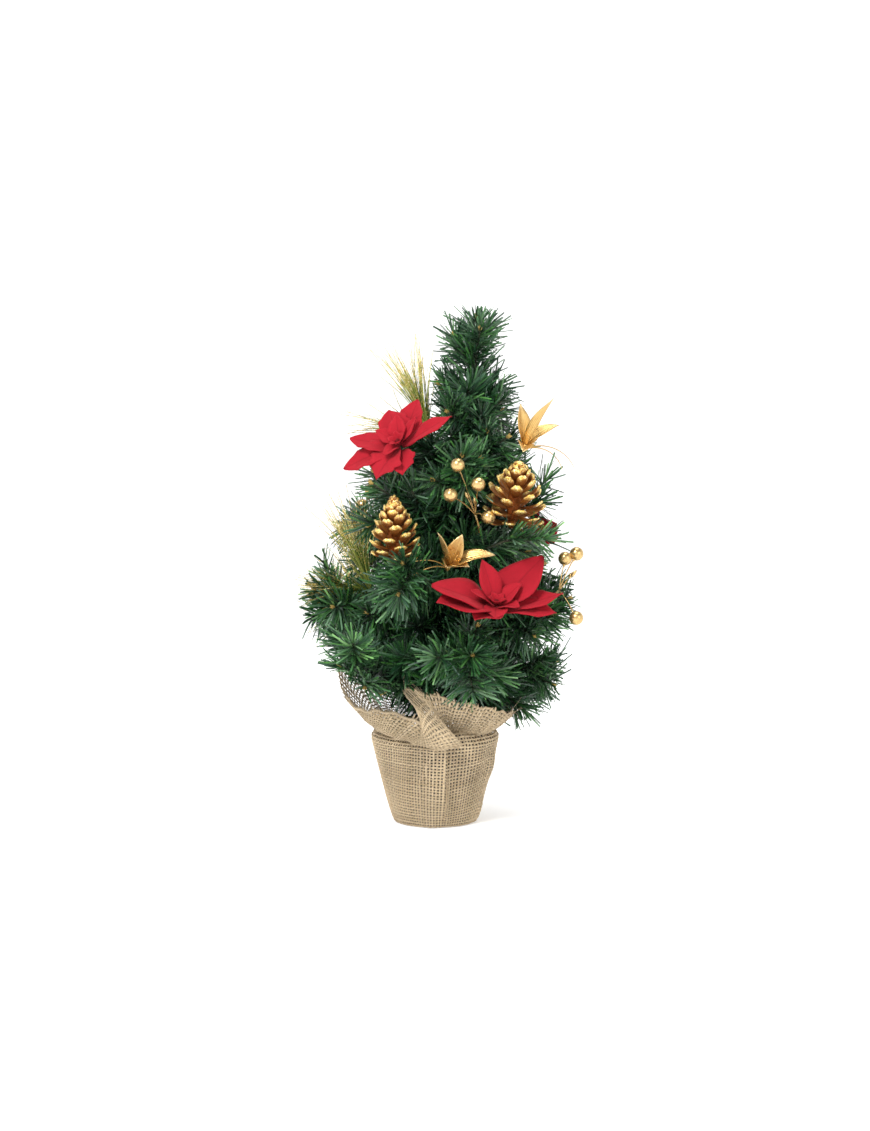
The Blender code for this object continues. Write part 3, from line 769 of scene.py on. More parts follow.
def make_cone(name, seed, width, stretch, openness):
    """Woody scales in a spiral round a core, each one thicker and dusted at its lip."""
    rng = np.random.default_rng(seed)
    base, height = cone_axes(name)
    height *= stretch
    pile = Pile()
    count = 56
    for k in range(count):
        share = (k + 0.5) / count
        level = height * (0.03 + 0.85 * share)
        envelope = width * (0.50 + 0.62 * math.sin(math.pi * min(1, 0.18 + 0.80 * share)) ** 0.9)
        envelope *= 1.12 - 0.55 * share**1.6
        tilt = math.radians(-12 + 84 * share**1.2 - openness * (1 - share))
        core = 0.0042 * (1 - 0.6 * share)
        length = max(0.006, envelope - core) * rng.uniform(0.93, 1.05)
        t = np.linspace(0, 1, 7)[:, None]
        c = np.linspace(-1, 1, 7)
        end = np.where(t > 0.82, np.sqrt(np.clip(1.02 - ((t - 0.82) / 0.19) ** 2, 0.12, 1)), 1)
        broad = 0.0058 * (1 - 0.35 * share) * (0.42 + 0.75 * t**0.8) * end
        lip = 0.0013 * np.clip((t - 0.72) / 0.28, 0, 1) ** 1.5
        hollow = 0.22 * broad * (c**2) * 1.2 + lip
        pitch = tilt + 0.35 * t
        angle = k * GOLDEN
        out = core + t * length * np.cos(pitch) - hollow * np.sin(pitch)
        up = t * length * np.sin(pitch) + hollow * np.cos(pitch) + level
        radial, lateral = circle(np.array([angle, angle + math.pi / 2]))
        grid = radial * out[..., None] + UP * up[..., None] + lateral * (broad * c)[..., None]
        thick = 0.0006 + 0.0008 * np.broadcast_to(np.clip((t - 0.6) / 0.4, 0, 1), (7, 7))
        slab(pile, moved(grid, base), thick, grains(rng.uniform(0, 1), t, c))
    core = [(0.0055 * math.sin(math.pi * (0.15 + 0.8 * s)) + 0.0006, height * s * 0.93)
            for s in np.linspace(0.02, 1, 9)]
    lathe(pile, [(0, 0.0005), *core, (0, height * 0.95)], base, 12, (0.1, 0.2, 0))
    stem(pile, base, 0.002, lowest(name, UP))
    pile.build(name + "_scales", [SCALES, TAPE], BODY_OF[name], "gold_scales", [name])


def make_berries(name, seed):
    """Satin berries with a dimple and a short neck, on wires that meet in one stem, and a few buds."""
    rng = np.random.default_rng(seed)
    pile = Pile()
    centres = berry_centres(name)
    points = node_points(name)
    foot = points[np.linalg.norm(points - np.array(JOINTS[BODY_OF[name]]["pos_m"]), axis=1).argmin()]
    middle = np.mean(centres, axis=0)
    fork = foot + (middle - foot) * 0.5
    twisted(pile, bezier(foot, (foot + fork) / 2 + UP * 0.002, fork), 0.0006, 0.004, shade=0.3, kind=1)
    berry = [(0.00595 * math.sin(a) * (1 + 0.02 * math.cos(a)),
              -BERRY_RADIUS * math.cos(a) - 0.0006 * math.exp(-(((math.pi - a) / 0.22) ** 2)))
             for a in np.linspace(0, math.pi, 13)]
    berry[0], berry[-1] = (0, berry[0][1]), (0, berry[-1][1])
    neck = (0, 0.0), (0.0011, 0.0003), (0.0013, 0.0012), (0.0008, 0.0022), (0, 0.0024)
    for centre in centres:
        reach = unit(fork - centre)
        start = centre + reach * 0.0055
        rod(pile, bezier(fork, (fork + start) / 2 + UP * 0.004, start, 12), 0.00055, 0.4)
        lathe(pile, berry, axes_at(centre, -reach), 24, (rng.uniform(0, 1), 0.5, 0), 0, 0.012)
        lathe(pile, neck, axes_at(centre + reach * 0.0052, reach), 10)
    seed_bud = (0, -0.001), (0.0012, 0.0006), (0.0016, 0.0024), (0.0010, 0.0052), (0, 0.0072)
    for _ in range(2):
        direction = unit(middle - foot + rng.normal(0, 0.010, 3) + UP * 0.01)
        tip = fork + direction * rng.uniform(0.012, 0.017)
        rod(pile, bezier(fork, (fork + tip) / 2 + UP * 0.001, tip, 8), 0.00045, 0.4)
        lathe(pile, seed_bud, axes_at(tip, direction), 10)
    pile.build(name + "_sprig", [BERRY, FOIL], BODY_OF[name], "gold_berry", [name])


def pine_axes(name):
    """Foot and direction of a glittered spray, along the longest axis of its solid."""
    points = node_points(name)
    middle = points.mean(0)
    _, _, rows = np.linalg.svd(points - middle)
    axis = rows[0] * np.sign(rows[0][2])
    low = ((points - middle) @ axis).min()
    return middle + axis * (low + 0.004), axis


def kept_near(starts, reach, rng):
    """How much of each needle stays within the CAD box or only a little proud of it."""
    low, high = (np.array(corner) for corner in CAD_BOX)
    room = np.where(reach < 0, low - PROUD - starts, high + PROUD - starts)
    share = (room / np.where(np.abs(reach) < 1e-6, 1e-6, reach)).min(axis=1, keepdims=True)
    return np.where(share < 1, share * rng.uniform(0.7, 1, share.shape), 1)


def make_pine(name, seed, fan_out):
    """Two fans of long flexible glittered needles from one foot: one up, one out over the branch."""
    rng = np.random.default_rng(seed)
    pile = Pile()
    foot, axis = pine_axes(name)
    joint = np.array(JOINTS[BODY_OF[name]]["pos_m"])
    outward = unit((foot - joint) * np.array([1, 1, 0.15]))
    fans_out = (axis, 120, 0.078, 0.17), (unit(outward + 0.10 * UP), fan_out, 0.066, 0.26)
    for direction, count, longest, spread in fans_out:
        aims = unit(direction + rng.normal(0, spread, (count, 3)))
        starts = foot + direction * rng.uniform(0.0, 0.022, (count, 1))
        lengths = longest * rng.uniform(0.62, 1.0, (count, 1))
        bend = rng.normal(0, 0.10, (count, 3)) - UP * 0.06
        lengths = lengths * kept_near(starts, (aims + bend) * lengths, rng)
        t = np.linspace(0, 1, 6)[None, :, None]
        centres = starts[:, None] + lengths[:, None] * (aims[:, None] * t + bend[:, None] * t**2)
        side = unit(np.cross(aims, rng.normal(0, 1, (count, 3))))[:, None]
        top = np.cross(side, aims[:, None])
        taper = 1 - 0.75 * t
        grain = grains(rng.uniform(0, 1, (count, 1)), t[..., 0])
        strands(pile, centres, side * 0.00072 * taper, top * 0.00022 * taper, grain)
        rod(pile, np.stack([foot - direction * 0.004, foot + direction * 0.012]), 0.0012, 0.2, kind=1)
    pile.build(name + "_needles", [GLITTER, WIRE], BODY_OF[name], "glitter_green", [name], smooth=False)


# ---------------------------------------------------------------- branches


def keep_clear():
    """Trees of the faces that no needle may cross, and the rooms in front of what shows:
    each an upright cylinder in its own axes (axes, radius, low, high, how its floor rises)."""
    trees, rooms = [], []
    for piece in list(bpy.context.scene.objects):
        if piece.name.endswith(("_petals", "_scales", "_sprig", "_cloth")):
            points = [v.co.copy() for v in piece.data.vertices]
            trees.append(BVHTree.FromPolygons(points, [tuple(p.vertices) for p in piece.data.polygons]))
    for place in PLACES["poinsettia"]:
        rooms.append((flower_axes(f"poinsettia_{place}_outer"), 0.050, -0.002, 0.045, -0.35))
    for place in PLACES["lily"]:
        rooms.append((flower_axes(f"lily_{place}"), 0.028, -0.001, 0.046, 0.40))
    for place in PLACES["cone"]:
        base, height = cone_axes(f"cone_{place}")
        rooms.append((base, 0.025, 0.001, height + 0.008, 0.0))
    for place in PLACES["glitter_pine"]:
        rooms.append((axes_at(*pine_axes(f"glitter_pine_{place}")), 0.021, 0.006, 0.080, 0.0))
    for place in PLACES["berries"]:
        for centre in berry_centres(f"berries_{place}"):
            rooms.append((axes_at(centre - np.array([0, 0.004, 0.009]), UP), 0.0085, 0, 0.017, 0.0))
    return trees, rooms


def clear_of(roots, tips, trees, rooms):
    """Whether each straight needle crosses no kept face and no kept room."""
    fine = np.ones(len(roots), bool)
    for share in (0.45, 0.72, 1.0):
        points = roots + (tips - roots) * share
        x, y, z = points.T
        (left, right), front, top = COLLAR_ROOM
        fine &= ~((y < front) & (x > left) & (x < right) & (z < top))
        for matrix, radius, low, high, widen in rooms:
            local = (points - matrix[:3, 3]) @ matrix[:3, :3]
            out = np.hypot(local[:, 0], local[:, 1])
            fine &= ~((out < radius) & (local[:, 2] > low + out * widen * 0.45) & (local[:, 2] < high))
    for k in np.nonzero(fine)[0]:
        start, span = Vector(roots[k]), Vector(tips[k] - roots[k])
        fine[k] = not any(tree.ray_cast(start, span.normalized(), span.length * 1.03)[0] for tree in trees)
    return fine


def outline(heights):
    """The left and right reach of the needles at these heights."""
    levels, left, right = np.array(OUTLINE).T
    return np.interp(heights, levels, left), np.interp(heights, levels, right)


def trimmed(path, spare=0.010):
    """The part of a wire that stays that far inside the outline, at least its first half."""
    left, right = outline(path[:, 2])
    outside = (path[:, 0] < left + spare) | (path[:, 0] > right - spare)
    outside[: len(path) // 2] = False
    return path[: np.argmax(outside)] if outside.any() else path


def brush(pile, path, rng, length, density, blocked, begin=0.0, bright=0.0):
    """Flat needles all round a wire, leaning towards its tip."""
    path, run = resampled(path, 60)
    count = max(8, int(run * (1 - begin) * density))
    at = begin + (1 - begin) * (np.arange(count) + rng.uniform(0, 1, count)) / count
    tangent, side, top = frames_along(path)
    stations = np.linspace(0, 1, len(path))

    def along(values):
        return np.stack([np.interp(at, stations, values[:, k]) for k in range(3)], -1)

    t, s, u, root = along(tangent), along(side), along(top), along(path)
    turn = rng.uniform(0, math.tau, count)
    near_tip = np.clip((at - 0.80) / 0.20, 0, 1) ** 1.4
    lean = NEEDLE_ANGLE + (TIP_ANGLE - NEEDLE_ANGLE) * near_tip + rng.normal(0, 0.13, count)
    round_about = s * np.cos(turn)[:, None] + u * np.sin(turn)[:, None]
    aim = unit(t * np.cos(lean)[:, None] + unit(round_about) * np.sin(lean)[:, None])
    size = length * rng.uniform(0.70, 1.15, count) * (1 - 0.22 * near_tip)
    droop = (t * 0.10 + rng.normal(0, 0.11, (count, 3)) - UP * 0.05) * size[:, None]
    tip = root + aim * size[:, None] + droop
    low, high = np.array(CAD_BOX[0]) - LOOSE, np.array(CAD_BOX[1]) + LOOSE
    low[2] = LOWEST
    inside = np.ones(count)
    ragged = 0.70 + 0.30 * np.abs(np.sin(7 * turn))  # so that cut needles don't end in a plane
    for k in (1, 2):
        reach = tip[:, k] - root[:, k]
        room = np.where(reach > 0, high[k] - root[:, k], root[:, k] - low[k]) * ragged
        inside = np.minimum(inside, room / np.maximum(np.abs(reach), 1e-9))
    size *= np.clip(inside, 0, 1)
    droop *= np.clip(inside, 0, 1)[:, None]
    tip = root + aim * size[:, None] + droop
    left, right = outline(tip[:, 2])
    fringe = FRINGE * rng.uniform(-0.2, 1, count) ** 3
    keep = (size > 0.008) & (tip[:, 0] > left - fringe) & (tip[:, 0] < right + fringe)
    keep &= clear_of(root, tip, *blocked)
    root, aim, size, droop = root[keep], aim[keep], size[keep], droop[keep]
    n = len(root)
    steps = np.array([0.0, 0.5, 1.0])[None, :, None]
    centres = root[:, None] + aim[:, None] * size[:, None, None] * steps + droop[:, None] * steps**2
    flatwise = unit(np.cross(aim, rng.normal(0, 1, (n, 3)) * 0.55 + t[keep]))
    over = np.cross(flatwise, aim)
    taper = np.array([0.75, 1.0, 0.80])[None, :, None]
    half = NEEDLE_WIDTH / 2 * rng.uniform(0.82, 1.12, n)[:, None, None] * taper
    shade = np.clip(rng.beta(1.5, 1.75, n) + bright, 0, 1)
    thick = over[:, None] * NEEDLE_THICKNESS / 2 * np.ones((1, 3, 1))
    strands(pile, centres, flatwise[:, None] * half, thick, grains(shade[:, None], steps[..., 0]))


def sprig(needles, wires, path, rng, blocked, length, share=1.0, radius=0.85, shade=0.6, begin=0.0, bright=0.0):
    """A twisted wire with its needles; share and radius are of a branch's own."""
    twisted(wires, path, WIRE_RADIUS * radius, WIRE_PITCH, shade=shade)
    brush(needles, path, rng, length, NEEDLES_PER_METRE * share, blocked, begin, bright)


def bud(pile, path, rng):
    """The small brown bud that ends a twig: overlapping scales round a pointed core."""
    tip, forward = path[-1], unit(path[-1] - path[-3])
    core = (0, -0.002), (0.0008, -0.001), (0.0011, 0.001), (0.0007, 0.0028), (0, 0.0040)
    lathe(pile, core, axes_at(tip, forward), 8, kind=1)
    for k in range(7):
        base = axes_at(tip - forward * 0.0012 + forward * 0.0004 * k, forward)
        leaf(pile, base, k * GOLDEN, 0.0034, 0.0019, math.radians(62), math.radians(30), rng,
             fold=0.4, start=0.0008, thickness=0.0003, rows=5, columns=5, kind=1)


def passes(path, blocked):
    """Whether a twig crosses nothing that shows."""
    return clear_of(path[:-1], path[1:], *blocked).all()


def twig_paths(path, rng):
    """The side twigs of a branch, left and right in turn, leaning to its tip."""
    _, run = resampled(path, 2)
    count = int(np.clip(round(run / 0.0155), 2, 8))
    tangent, side, top = frames_along(path)
    twigs = []
    for k in range(count):
        share = 0.20 + 0.66 * (k + 0.3) / count
        spot = int(share * (len(path) - 1))
        turn = k * math.pi + rng.uniform(-0.95, 0.95) + (0.5 * math.pi if k % 4 > 1 else 0)
        spread = math.radians(rng.uniform(38, 60))
        around = side[spot] * math.cos(turn) + top[spot] * math.sin(turn)
        aim = unit(tangent[spot] * math.cos(spread) + around * math.sin(spread))
        size = min(0.046, run * 0.50) * (1.05 - 0.40 * share) * rng.uniform(0.80, 1.12)
        start, end = path[spot], path[spot] + aim * size + tangent[spot] * size * 0.18
        twigs.append(bezier(start, start + aim * size * 0.5, end, 16))
    return twigs


def make_branch(body, node, blocked, seed):
    rng = np.random.default_rng(seed)
    needles, wires = Pile(), Pile()
    path = trimmed(branch_path(body, node))
    _, run = resampled(path, 2)
    length = NEEDLE_LENGTH * (1.0 if run > 0.05 else 0.9)
    sprig(needles, wires, path, rng, blocked, length, 1, 1, 0.4, 0.10)
    bud(wires, path, rng)
    for twig in twig_paths(path, rng):
        twig = trimmed(twig, 0.006)
        if not passes(twig[2:], blocked):
            continue
        sprig(needles, wires, twig, rng, blocked, length * 0.92, 0.92, begin=0.12,
              bright=rng.uniform(-0.12, 0.16))
        if rng.uniform() < 0.5:
            bud(wires, twig, rng)
    needles.build(node + "_needles", [NEEDLES], body, "green_needles", [node], smooth=False)
    wires.build(node + "_twigs", [WIRE, BUD], body, "green_tape")


def make_leader(blocked):
    rng = np.random.default_rng(900)
    needles, wires = Pile(), Pile()
    path = branch_path("leader", "leader_brush")
    path = path[0] + (path - path[0]) * 0.90
    sprig(needles, wires, path, rng, blocked, 0.029, 0.80, 1.1, 0.4, 0.02, 0.05)
    bud(wires, path, rng)
    _, side, top = frames_along(path)
    for k, (share, size) in enumerate(((0.16, 0.034), (0.30, 0.032), (0.42, 0.028), (0.22, 0.030))):
        turn = 0.9 + k * GOLDEN
        spot = path[int(share * (len(path) - 1))]
        aim = unit(side[0] * math.cos(turn) + top[0] * math.sin(turn) + unit(path[-1] - path[0]) * 1.15)
        twig = bezier(spot, spot + aim * size * 0.55, spot + aim * size + UP * 0.004, 14)
        sprig(needles, wires, twig, rng, blocked, 0.024, 0.75, 0.8, begin=0.1)
        bud(wires, twig, rng)
    needles.build("leader_needles", [NEEDLES], "leader", "green_needles", ["leader_brush"], smooth=False)
    wires.build("leader_twigs", [WIRE, BUD], "leader", "green_tape")


def make_trunk(blocked):
    """The taped pole, whose tape laps itself in a spiral, and the needles wound on it."""
    rng = np.random.default_rng(950)
    points = node_points("trunk_pole")
    at_foot = points[:, 2] < points[:, 2].min() + 0.002
    at_top = points[:, 2] > points[:, 2].max() - 0.002
    low, high = points[at_foot].mean(0), points[at_top].mean(0)
    axis = unit(high - low)
    wide = np.linalg.norm(np.cross(points - low, axis), axis=1)
    foot_radius, top_radius = wide[at_foot].max(), wide[at_top].max()
    run = np.linalg.norm(high - low)
    pile = Pile()
    profile = [(0, 0)]
    for level in np.linspace(0, 1, 190):
        lap = 1.0 - 0.07 * ((level * 46) % 1)
        profile.append(((foot_radius + (top_radius - foot_radius) * level) * lap, level * run))
    lathe(pile, profile + [(0, run)], axes_at(low, axis), 14)
    pile.build("trunk_tape", [TAPE], "base", "green_tape", ["trunk_pole"])
    needles, wires = Pile(), Pile()
    start = low + axis * 0.098
    # bright below 0: darker needles on the pole, painted shade for the tree's inside
    brush(needles, np.linspace(start, high, 30), rng, 0.027, NEEDLES_PER_METRE * 1.1, blocked, bright=-0.30)
    count = 52
    for k in range(count):  # short sprigs wound on between the branches
        spot = start + (high - start) * (k / count) ** 0.9
        turn = k * GOLDEN
        aim = unit(np.array([math.cos(turn), math.sin(turn), 0.35 - 0.5 * (k < 9)]))
        size = 0.052 - 0.026 * k / count
        path = bezier(spot, spot + aim * size * 0.5, spot + aim * size + UP * 0.004, 12)
        if passes(path, blocked):
            # darker, painted shade for the tree's inside
            sprig(needles, wires, path, rng, blocked, 0.025, shade=0.5, begin=0.15, bright=-0.12)
    inner = Pile()
    for k in range(18):  # longer ones low down, where the branches stand apart
        spot = start + (high - start) * (0.06 + 0.012 * k)
        turn = math.radians(200) + k * GOLDEN
        aim = unit(np.array([math.cos(turn), math.sin(turn), 0.05]))
        path = bezier(spot, spot + aim * 0.03, spot + aim * 0.058 + UP * 0.003, 12)
        if passes(path, blocked):
            # darker, painted shade for the tree's inside
            sprig(inner, wires, path, rng, blocked, 0.025, shade=0.5, begin=0.2, bright=-0.15)
    inner.build("trunk_low_needles", [NEEDLES], "base", "green_needles", smooth=False)
    needles.build("trunk_needles", [NEEDLES], "base", "green_needles", smooth=False)
    wires.build("trunk_twigs", [WIRE, BUD], "base", "green_tape")


# ---------------------------------------------------------------- burlap

# The collar, column by column round the neck: where the column leaves the neck (degrees),
# then its middle and its edge (x, y, z in millimetres). Folds double back in front.
COLLAR = (
    (0, (50, -4, 85), (66, -10, 96)),
    (-24, (46, -25, 83), (66, -38, 100)),
    (-44, (36, -37, 83), (55, -56, 105)),
    (-60, (22, -41, 85), (35, -66, 111)),
    (-72, (9, -41, 87), (13, -66, 116)),
    (-82, (11, -52, 83), (-7, -61, 121)),
    (-91, (22, -65, 79), (-25, -56, 124)),
    (-99, (4, -66, 76), (-19, -60, 112)),
    (-107, (-14, -61, 77), (-9, -61, 98)),
    (-115, (-22, -58, 80), (-2, -63, 87)),
    (-125, (-34, -52, 82), (-19, -59, 98)),
    (-140, (-46, -40, 85), (-43, -50, 104)),
    (-158, (-54, -24, 88), (-64, -34, 103)),
    (-180, (-58, -6, 94), (-80, -10, 114)),
    (-202, (-56, 14, 100), (-84, 10, 141)),
    (-225, (-44, 34, 96), (-60, 40, 138)),
    (-250, (-18, 46, 90), (-26, 58, 112)),
    (-275, (6, 50, 88), (8, 66, 104)),
    (-300, (28, 44, 90), (36, 60, 114)),
    (-322, (42, 34, 92), (56, 46, 118)),
    (-342, (50, 16, 88), (68, 18, 104)),
)
POT_ROWS = 28
SHOULDER_ROWS, COLLAR_ROWS = 6, 22


def periodic(values, at):
    """Catmull-Rom through values that repeat, at positions from 0 to their count."""
    values = np.asarray(values, float)
    count = len(values)
    i = np.floor(at).astype(int)
    t = (at - i)[:, None]
    a, b, c, d = (values[(i + k) % count] for k in (-1, 0, 1, 2))
    return b + 0.5 * t * (c - a + t * (2 * a - 5 * b + 4 * c - d + t * (3 * (b - c) + d - a)))


def pot_columns(stations):
    """Which column of the collar each station of the pot's cloth lies at, nearly even round the pot."""
    turns = np.radians([-column[0] for column in COLLAR])
    share = np.arange(stations) / stations
    even = np.interp(math.tau * share, np.append(turns, math.tau), np.arange(len(COLLAR) + 1))
    return 0.45 * share * len(COLLAR) + 0.55 * even


def collar_columns(stations):
    """The same for the collar, where the yarns are spaced evenly along its edge."""
    middle, edge = (np.array([column[k] for column in COLLAR], float) for k in (1, 2))
    gap = sum(w * np.linalg.norm(np.roll(p, -1, 0) - p, axis=1) for w, p in ((0.4, middle), (0.6, edge)))
    run = np.concatenate([[0], np.cumsum(gap)])
    return np.interp(run[-1] * np.arange(stations) / stations, run, np.arange(len(COLLAR) + 1))


def cloth_rows(at):
    """Points of the cloth, (rows, stations, 3), from the pot's foot up to the frayed edge."""
    stations = len(at)
    points = node_points("pot_cup")
    foot, rim = points[:, 2].min(), points[:, 2].max()
    radius = np.hypot(points[:, 0], points[:, 1])
    foot_radius = radius[points[:, 2] < foot + 0.0005].max() + CLOTH_GAP
    rim_radius = radius[points[:, 2] > rim - 0.0005].max() + CLOTH_GAP
    turns = np.radians([column[0] for column in COLLAR])
    slope = -math.tau
    swing = turns - slope * np.arange(len(COLLAR)) / len(COLLAR)
    angle = periodic(swing[:, None], at)[:, 0] + slope * at / len(COLLAR)
    middle = periodic([column[1] for column in COLLAR], at) / 1000
    edge = periodic([column[2] for column in COLLAR], at) / 1000
    ring = circle(angle)
    pleat = np.sin(17 * angle + 0.6) + 0.45 * np.sin(29 * angle + 2.0)
    rows = []
    for share in np.linspace(0, 1, POT_ROWS):
        height = foot + (rim - foot) * share
        out = foot_radius + (rim_radius - foot_radius) * share + 0.0016 * math.sin(math.pi * share**0.6)
        turn = slope * np.arange(stations) / stations
        turn = turn + (angle - turn) * (0.15 + 0.75 * smooth(share, 0, 1.1))
        front = np.degrees(turn)
        swell = 0.0005 * np.sin(3 * turn + 4 * share) + 0.0004 * np.sin(7 * turn - 5 * share)
        crease = 0.0022 * np.exp(-(((front + 124 - 34 * share) / 2.2) ** 2)) * smooth(share, 0.40, 0.55)
        beside = front + 77 + 5 * share
        fold = 0.0056 * np.exp(-((beside / np.where(beside > 0, 2.4, 15.0)) ** 2)) * smooth(share, 0.02, 0.40)
        fold = fold + 0.0016 * np.exp(-(((front + 96 - 4 * share) / 9) ** 2))
        hollow = -0.0016 * np.exp(-(((front + 67 + 5 * share) / 4.5) ** 2)) * smooth(share, 0.05, 0.35)
        lumps = 0.0026 * np.exp(-(((front + 18) / 9) ** 2)) * (0.5 + 0.5 * math.sin(11 * share + 0.6))
        lumps = lumps + 0.0014 * np.exp(-(((front + 46) / 12) ** 2)) * (0.5 + 0.5 * math.sin(7 * share + 2.6))
        reach = out + np.maximum(swell + crease + fold + hollow + lumps, -0.0014 * math.sin(math.pi * share))
        sway = 0.0018 * math.sin(math.pi * share) * np.sin(turn * 2 + 0.7)
        climb = np.interp(beside, (-0.5, 1.0, 52, 92), (0, -1, 1, 0))  # the rows past the fold lie askew
        sway = sway + 0.0034 * math.sin(math.pi * share) * climb
        rows.append(circle(turn) * reach[:, None] + UP * (height + sway)[:, None])
    for k in range(1, SHOULDER_ROWS + 1):
        share = k / SHOULDER_ROWS
        arc = share * math.pi / 2
        out = NECK_RADIUS + (rim_radius + 0.0008 - NECK_RADIUS) * math.cos(arc) ** 0.85
        height = rim + 0.0012 + (NECK_RISE - 0.0012) * math.sin(arc) ** 1.3
        fold = (0.0022 * share**1.5 * pleat)[:, None]
        rows.append(ring * (out + fold) + UP * (height + 0.0006 * share * pleat)[:, None])
    neck_points = rows[-1]
    for k in range(1, COLLAR_ROWS + 1):
        t = k / COLLAR_ROWS
        flow = (1 - t) * (1 - 2 * t) * neck_points + 4 * t * (1 - t) * middle + t * (2 * t - 1) * edge
        shrink = 0.0013 * (1 - t) ** 2 * pleat[:, None]
        ripple = 0.0010 * t * np.sin(31 * angle + 5 * t)[:, None]
        rows.append(flow + ring * shrink + UP * ripple)
    return np.array(rows), foot_radius, foot


def smooth(value, low, high):
    t = min(1.0, max(0.0, (value - low) / (high - low)))
    return t * t * (3 - 2 * t)


def directions(rows):
    """Down and along the cloth, and square to it, at each of its points."""
    down = np.gradient(rows, axis=0)
    along = (np.roll(rows, -1, axis=1) - np.roll(rows, 1, axis=1)) / 2
    return down, along, unit(np.cross(down, along))


def weave(pile, rows, rng, fill, frayed=False):
    """Plain weave over the points: a closed weft for each row, a warp at every second station.
    fill is how much of the pitch the yarns take at each station."""
    count, stations = rows.shape[:2]
    warps = stations // 2
    half_width, half_thick = YARN_WIDTH / 2, YARN_THICKNESS / 2
    down, _, normal = directions(rows)

    def crossings(lines, points):
        """How far over or under the others each yarn is at each point, in turn."""
        in_turn = np.array([1.0, 0.0, -1.0, 0.0])[np.arange(points) % 4]
        return in_turn * np.array([1.0, -1.0])[np.arange(lines) % 2][:, None]

    def fullness(lines, points, gaps, fill):
        """How much wider or thinner than usual a yarn is: by chance, and where the weave is
        loose or tight."""
        chance = rng.uniform(0.84, 1.14, (lines, 1, 1)) * rng.uniform(0.90, 1.10, (lines, points, 1))
        return chance * np.clip(gaps * fill / YARN_WIDTH, 0.45, 2.2)

    def shades(lines, points):
        return np.clip(rng.normal(0.5, 0.20, (lines, 1)) + rng.normal(0, 0.05, (lines, points)), 0, 1)

    centres = rows + normal * (WEAVE_RISE * crossings(count, stations))[..., None]
    centres = centres + unit(down) * rng.normal(0, 0.00016, (count, stations, 1))
    gaps = np.linalg.norm(down, axis=2, keepdims=True)
    thicker = fullness(count, stations, gaps, fill[None, :, None])
    grain = grains(shades(count, stations), np.linspace(0, 0.32, stations))
    thick = normal * half_thick * np.minimum(thicker, 1)
    strands(pile, centres, unit(down) * half_width * thicker, thick, grain, 3, ring=True)

    fine = np.stack([rows[:-1], (rows[:-1] + rows[1:]) / 2], 1).reshape(-1, stations, 3)
    fine = np.concatenate([fine, rows[-1:]])[:, ::2]
    lines = fine.transpose(1, 0, 2)
    outward = np.repeat(normal[:, ::2], 2, axis=0)[: lines.shape[1]].transpose(1, 0, 2)
    if frayed:
        ahead = unit(lines[:, -1] - lines[:, -3])
        ends = rng.gamma(1.6, 0.0016, (warps, 1, 1)) + 0.0012
        droop = rng.normal(0, 0.25, (warps, 1, 3))
        t = np.array([0.34, 0.67, 1.0])[None, :, None]
        lines = np.concatenate([lines, lines[:, -1:] + ahead[:, None] * ends * t + droop * ends * t**2], 1)
        outward = np.concatenate([outward, np.repeat(outward[:, -1:], 3, 1)], 1)
    n = lines.shape[1]
    over = -crossings(warps, n)
    gaps = np.linalg.norm(np.roll(lines, -1, 0) - np.roll(lines, 1, 0), axis=2, keepdims=True) / 2
    thicker = fullness(warps, n, gaps, fill[::2, None, None])
    if frayed:
        over[:, -3:] = 0
        thicker[:, -3:] *= np.array([0.75, 0.55, 0.35])[None, :, None]
    centres = lines + outward * (WEAVE_RISE * over)[..., None]
    across = unit(np.cross(outward, unit(np.gradient(centres, axis=1))))
    run = np.linspace(0, 0.16, n)[None] + rng.uniform(0, 1, (warps, 1))
    thick = outward * half_thick * np.minimum(thicker, 1)
    strands(pile, centres, across * half_width * thicker, thick, grains(shades(warps, n), run), 3)


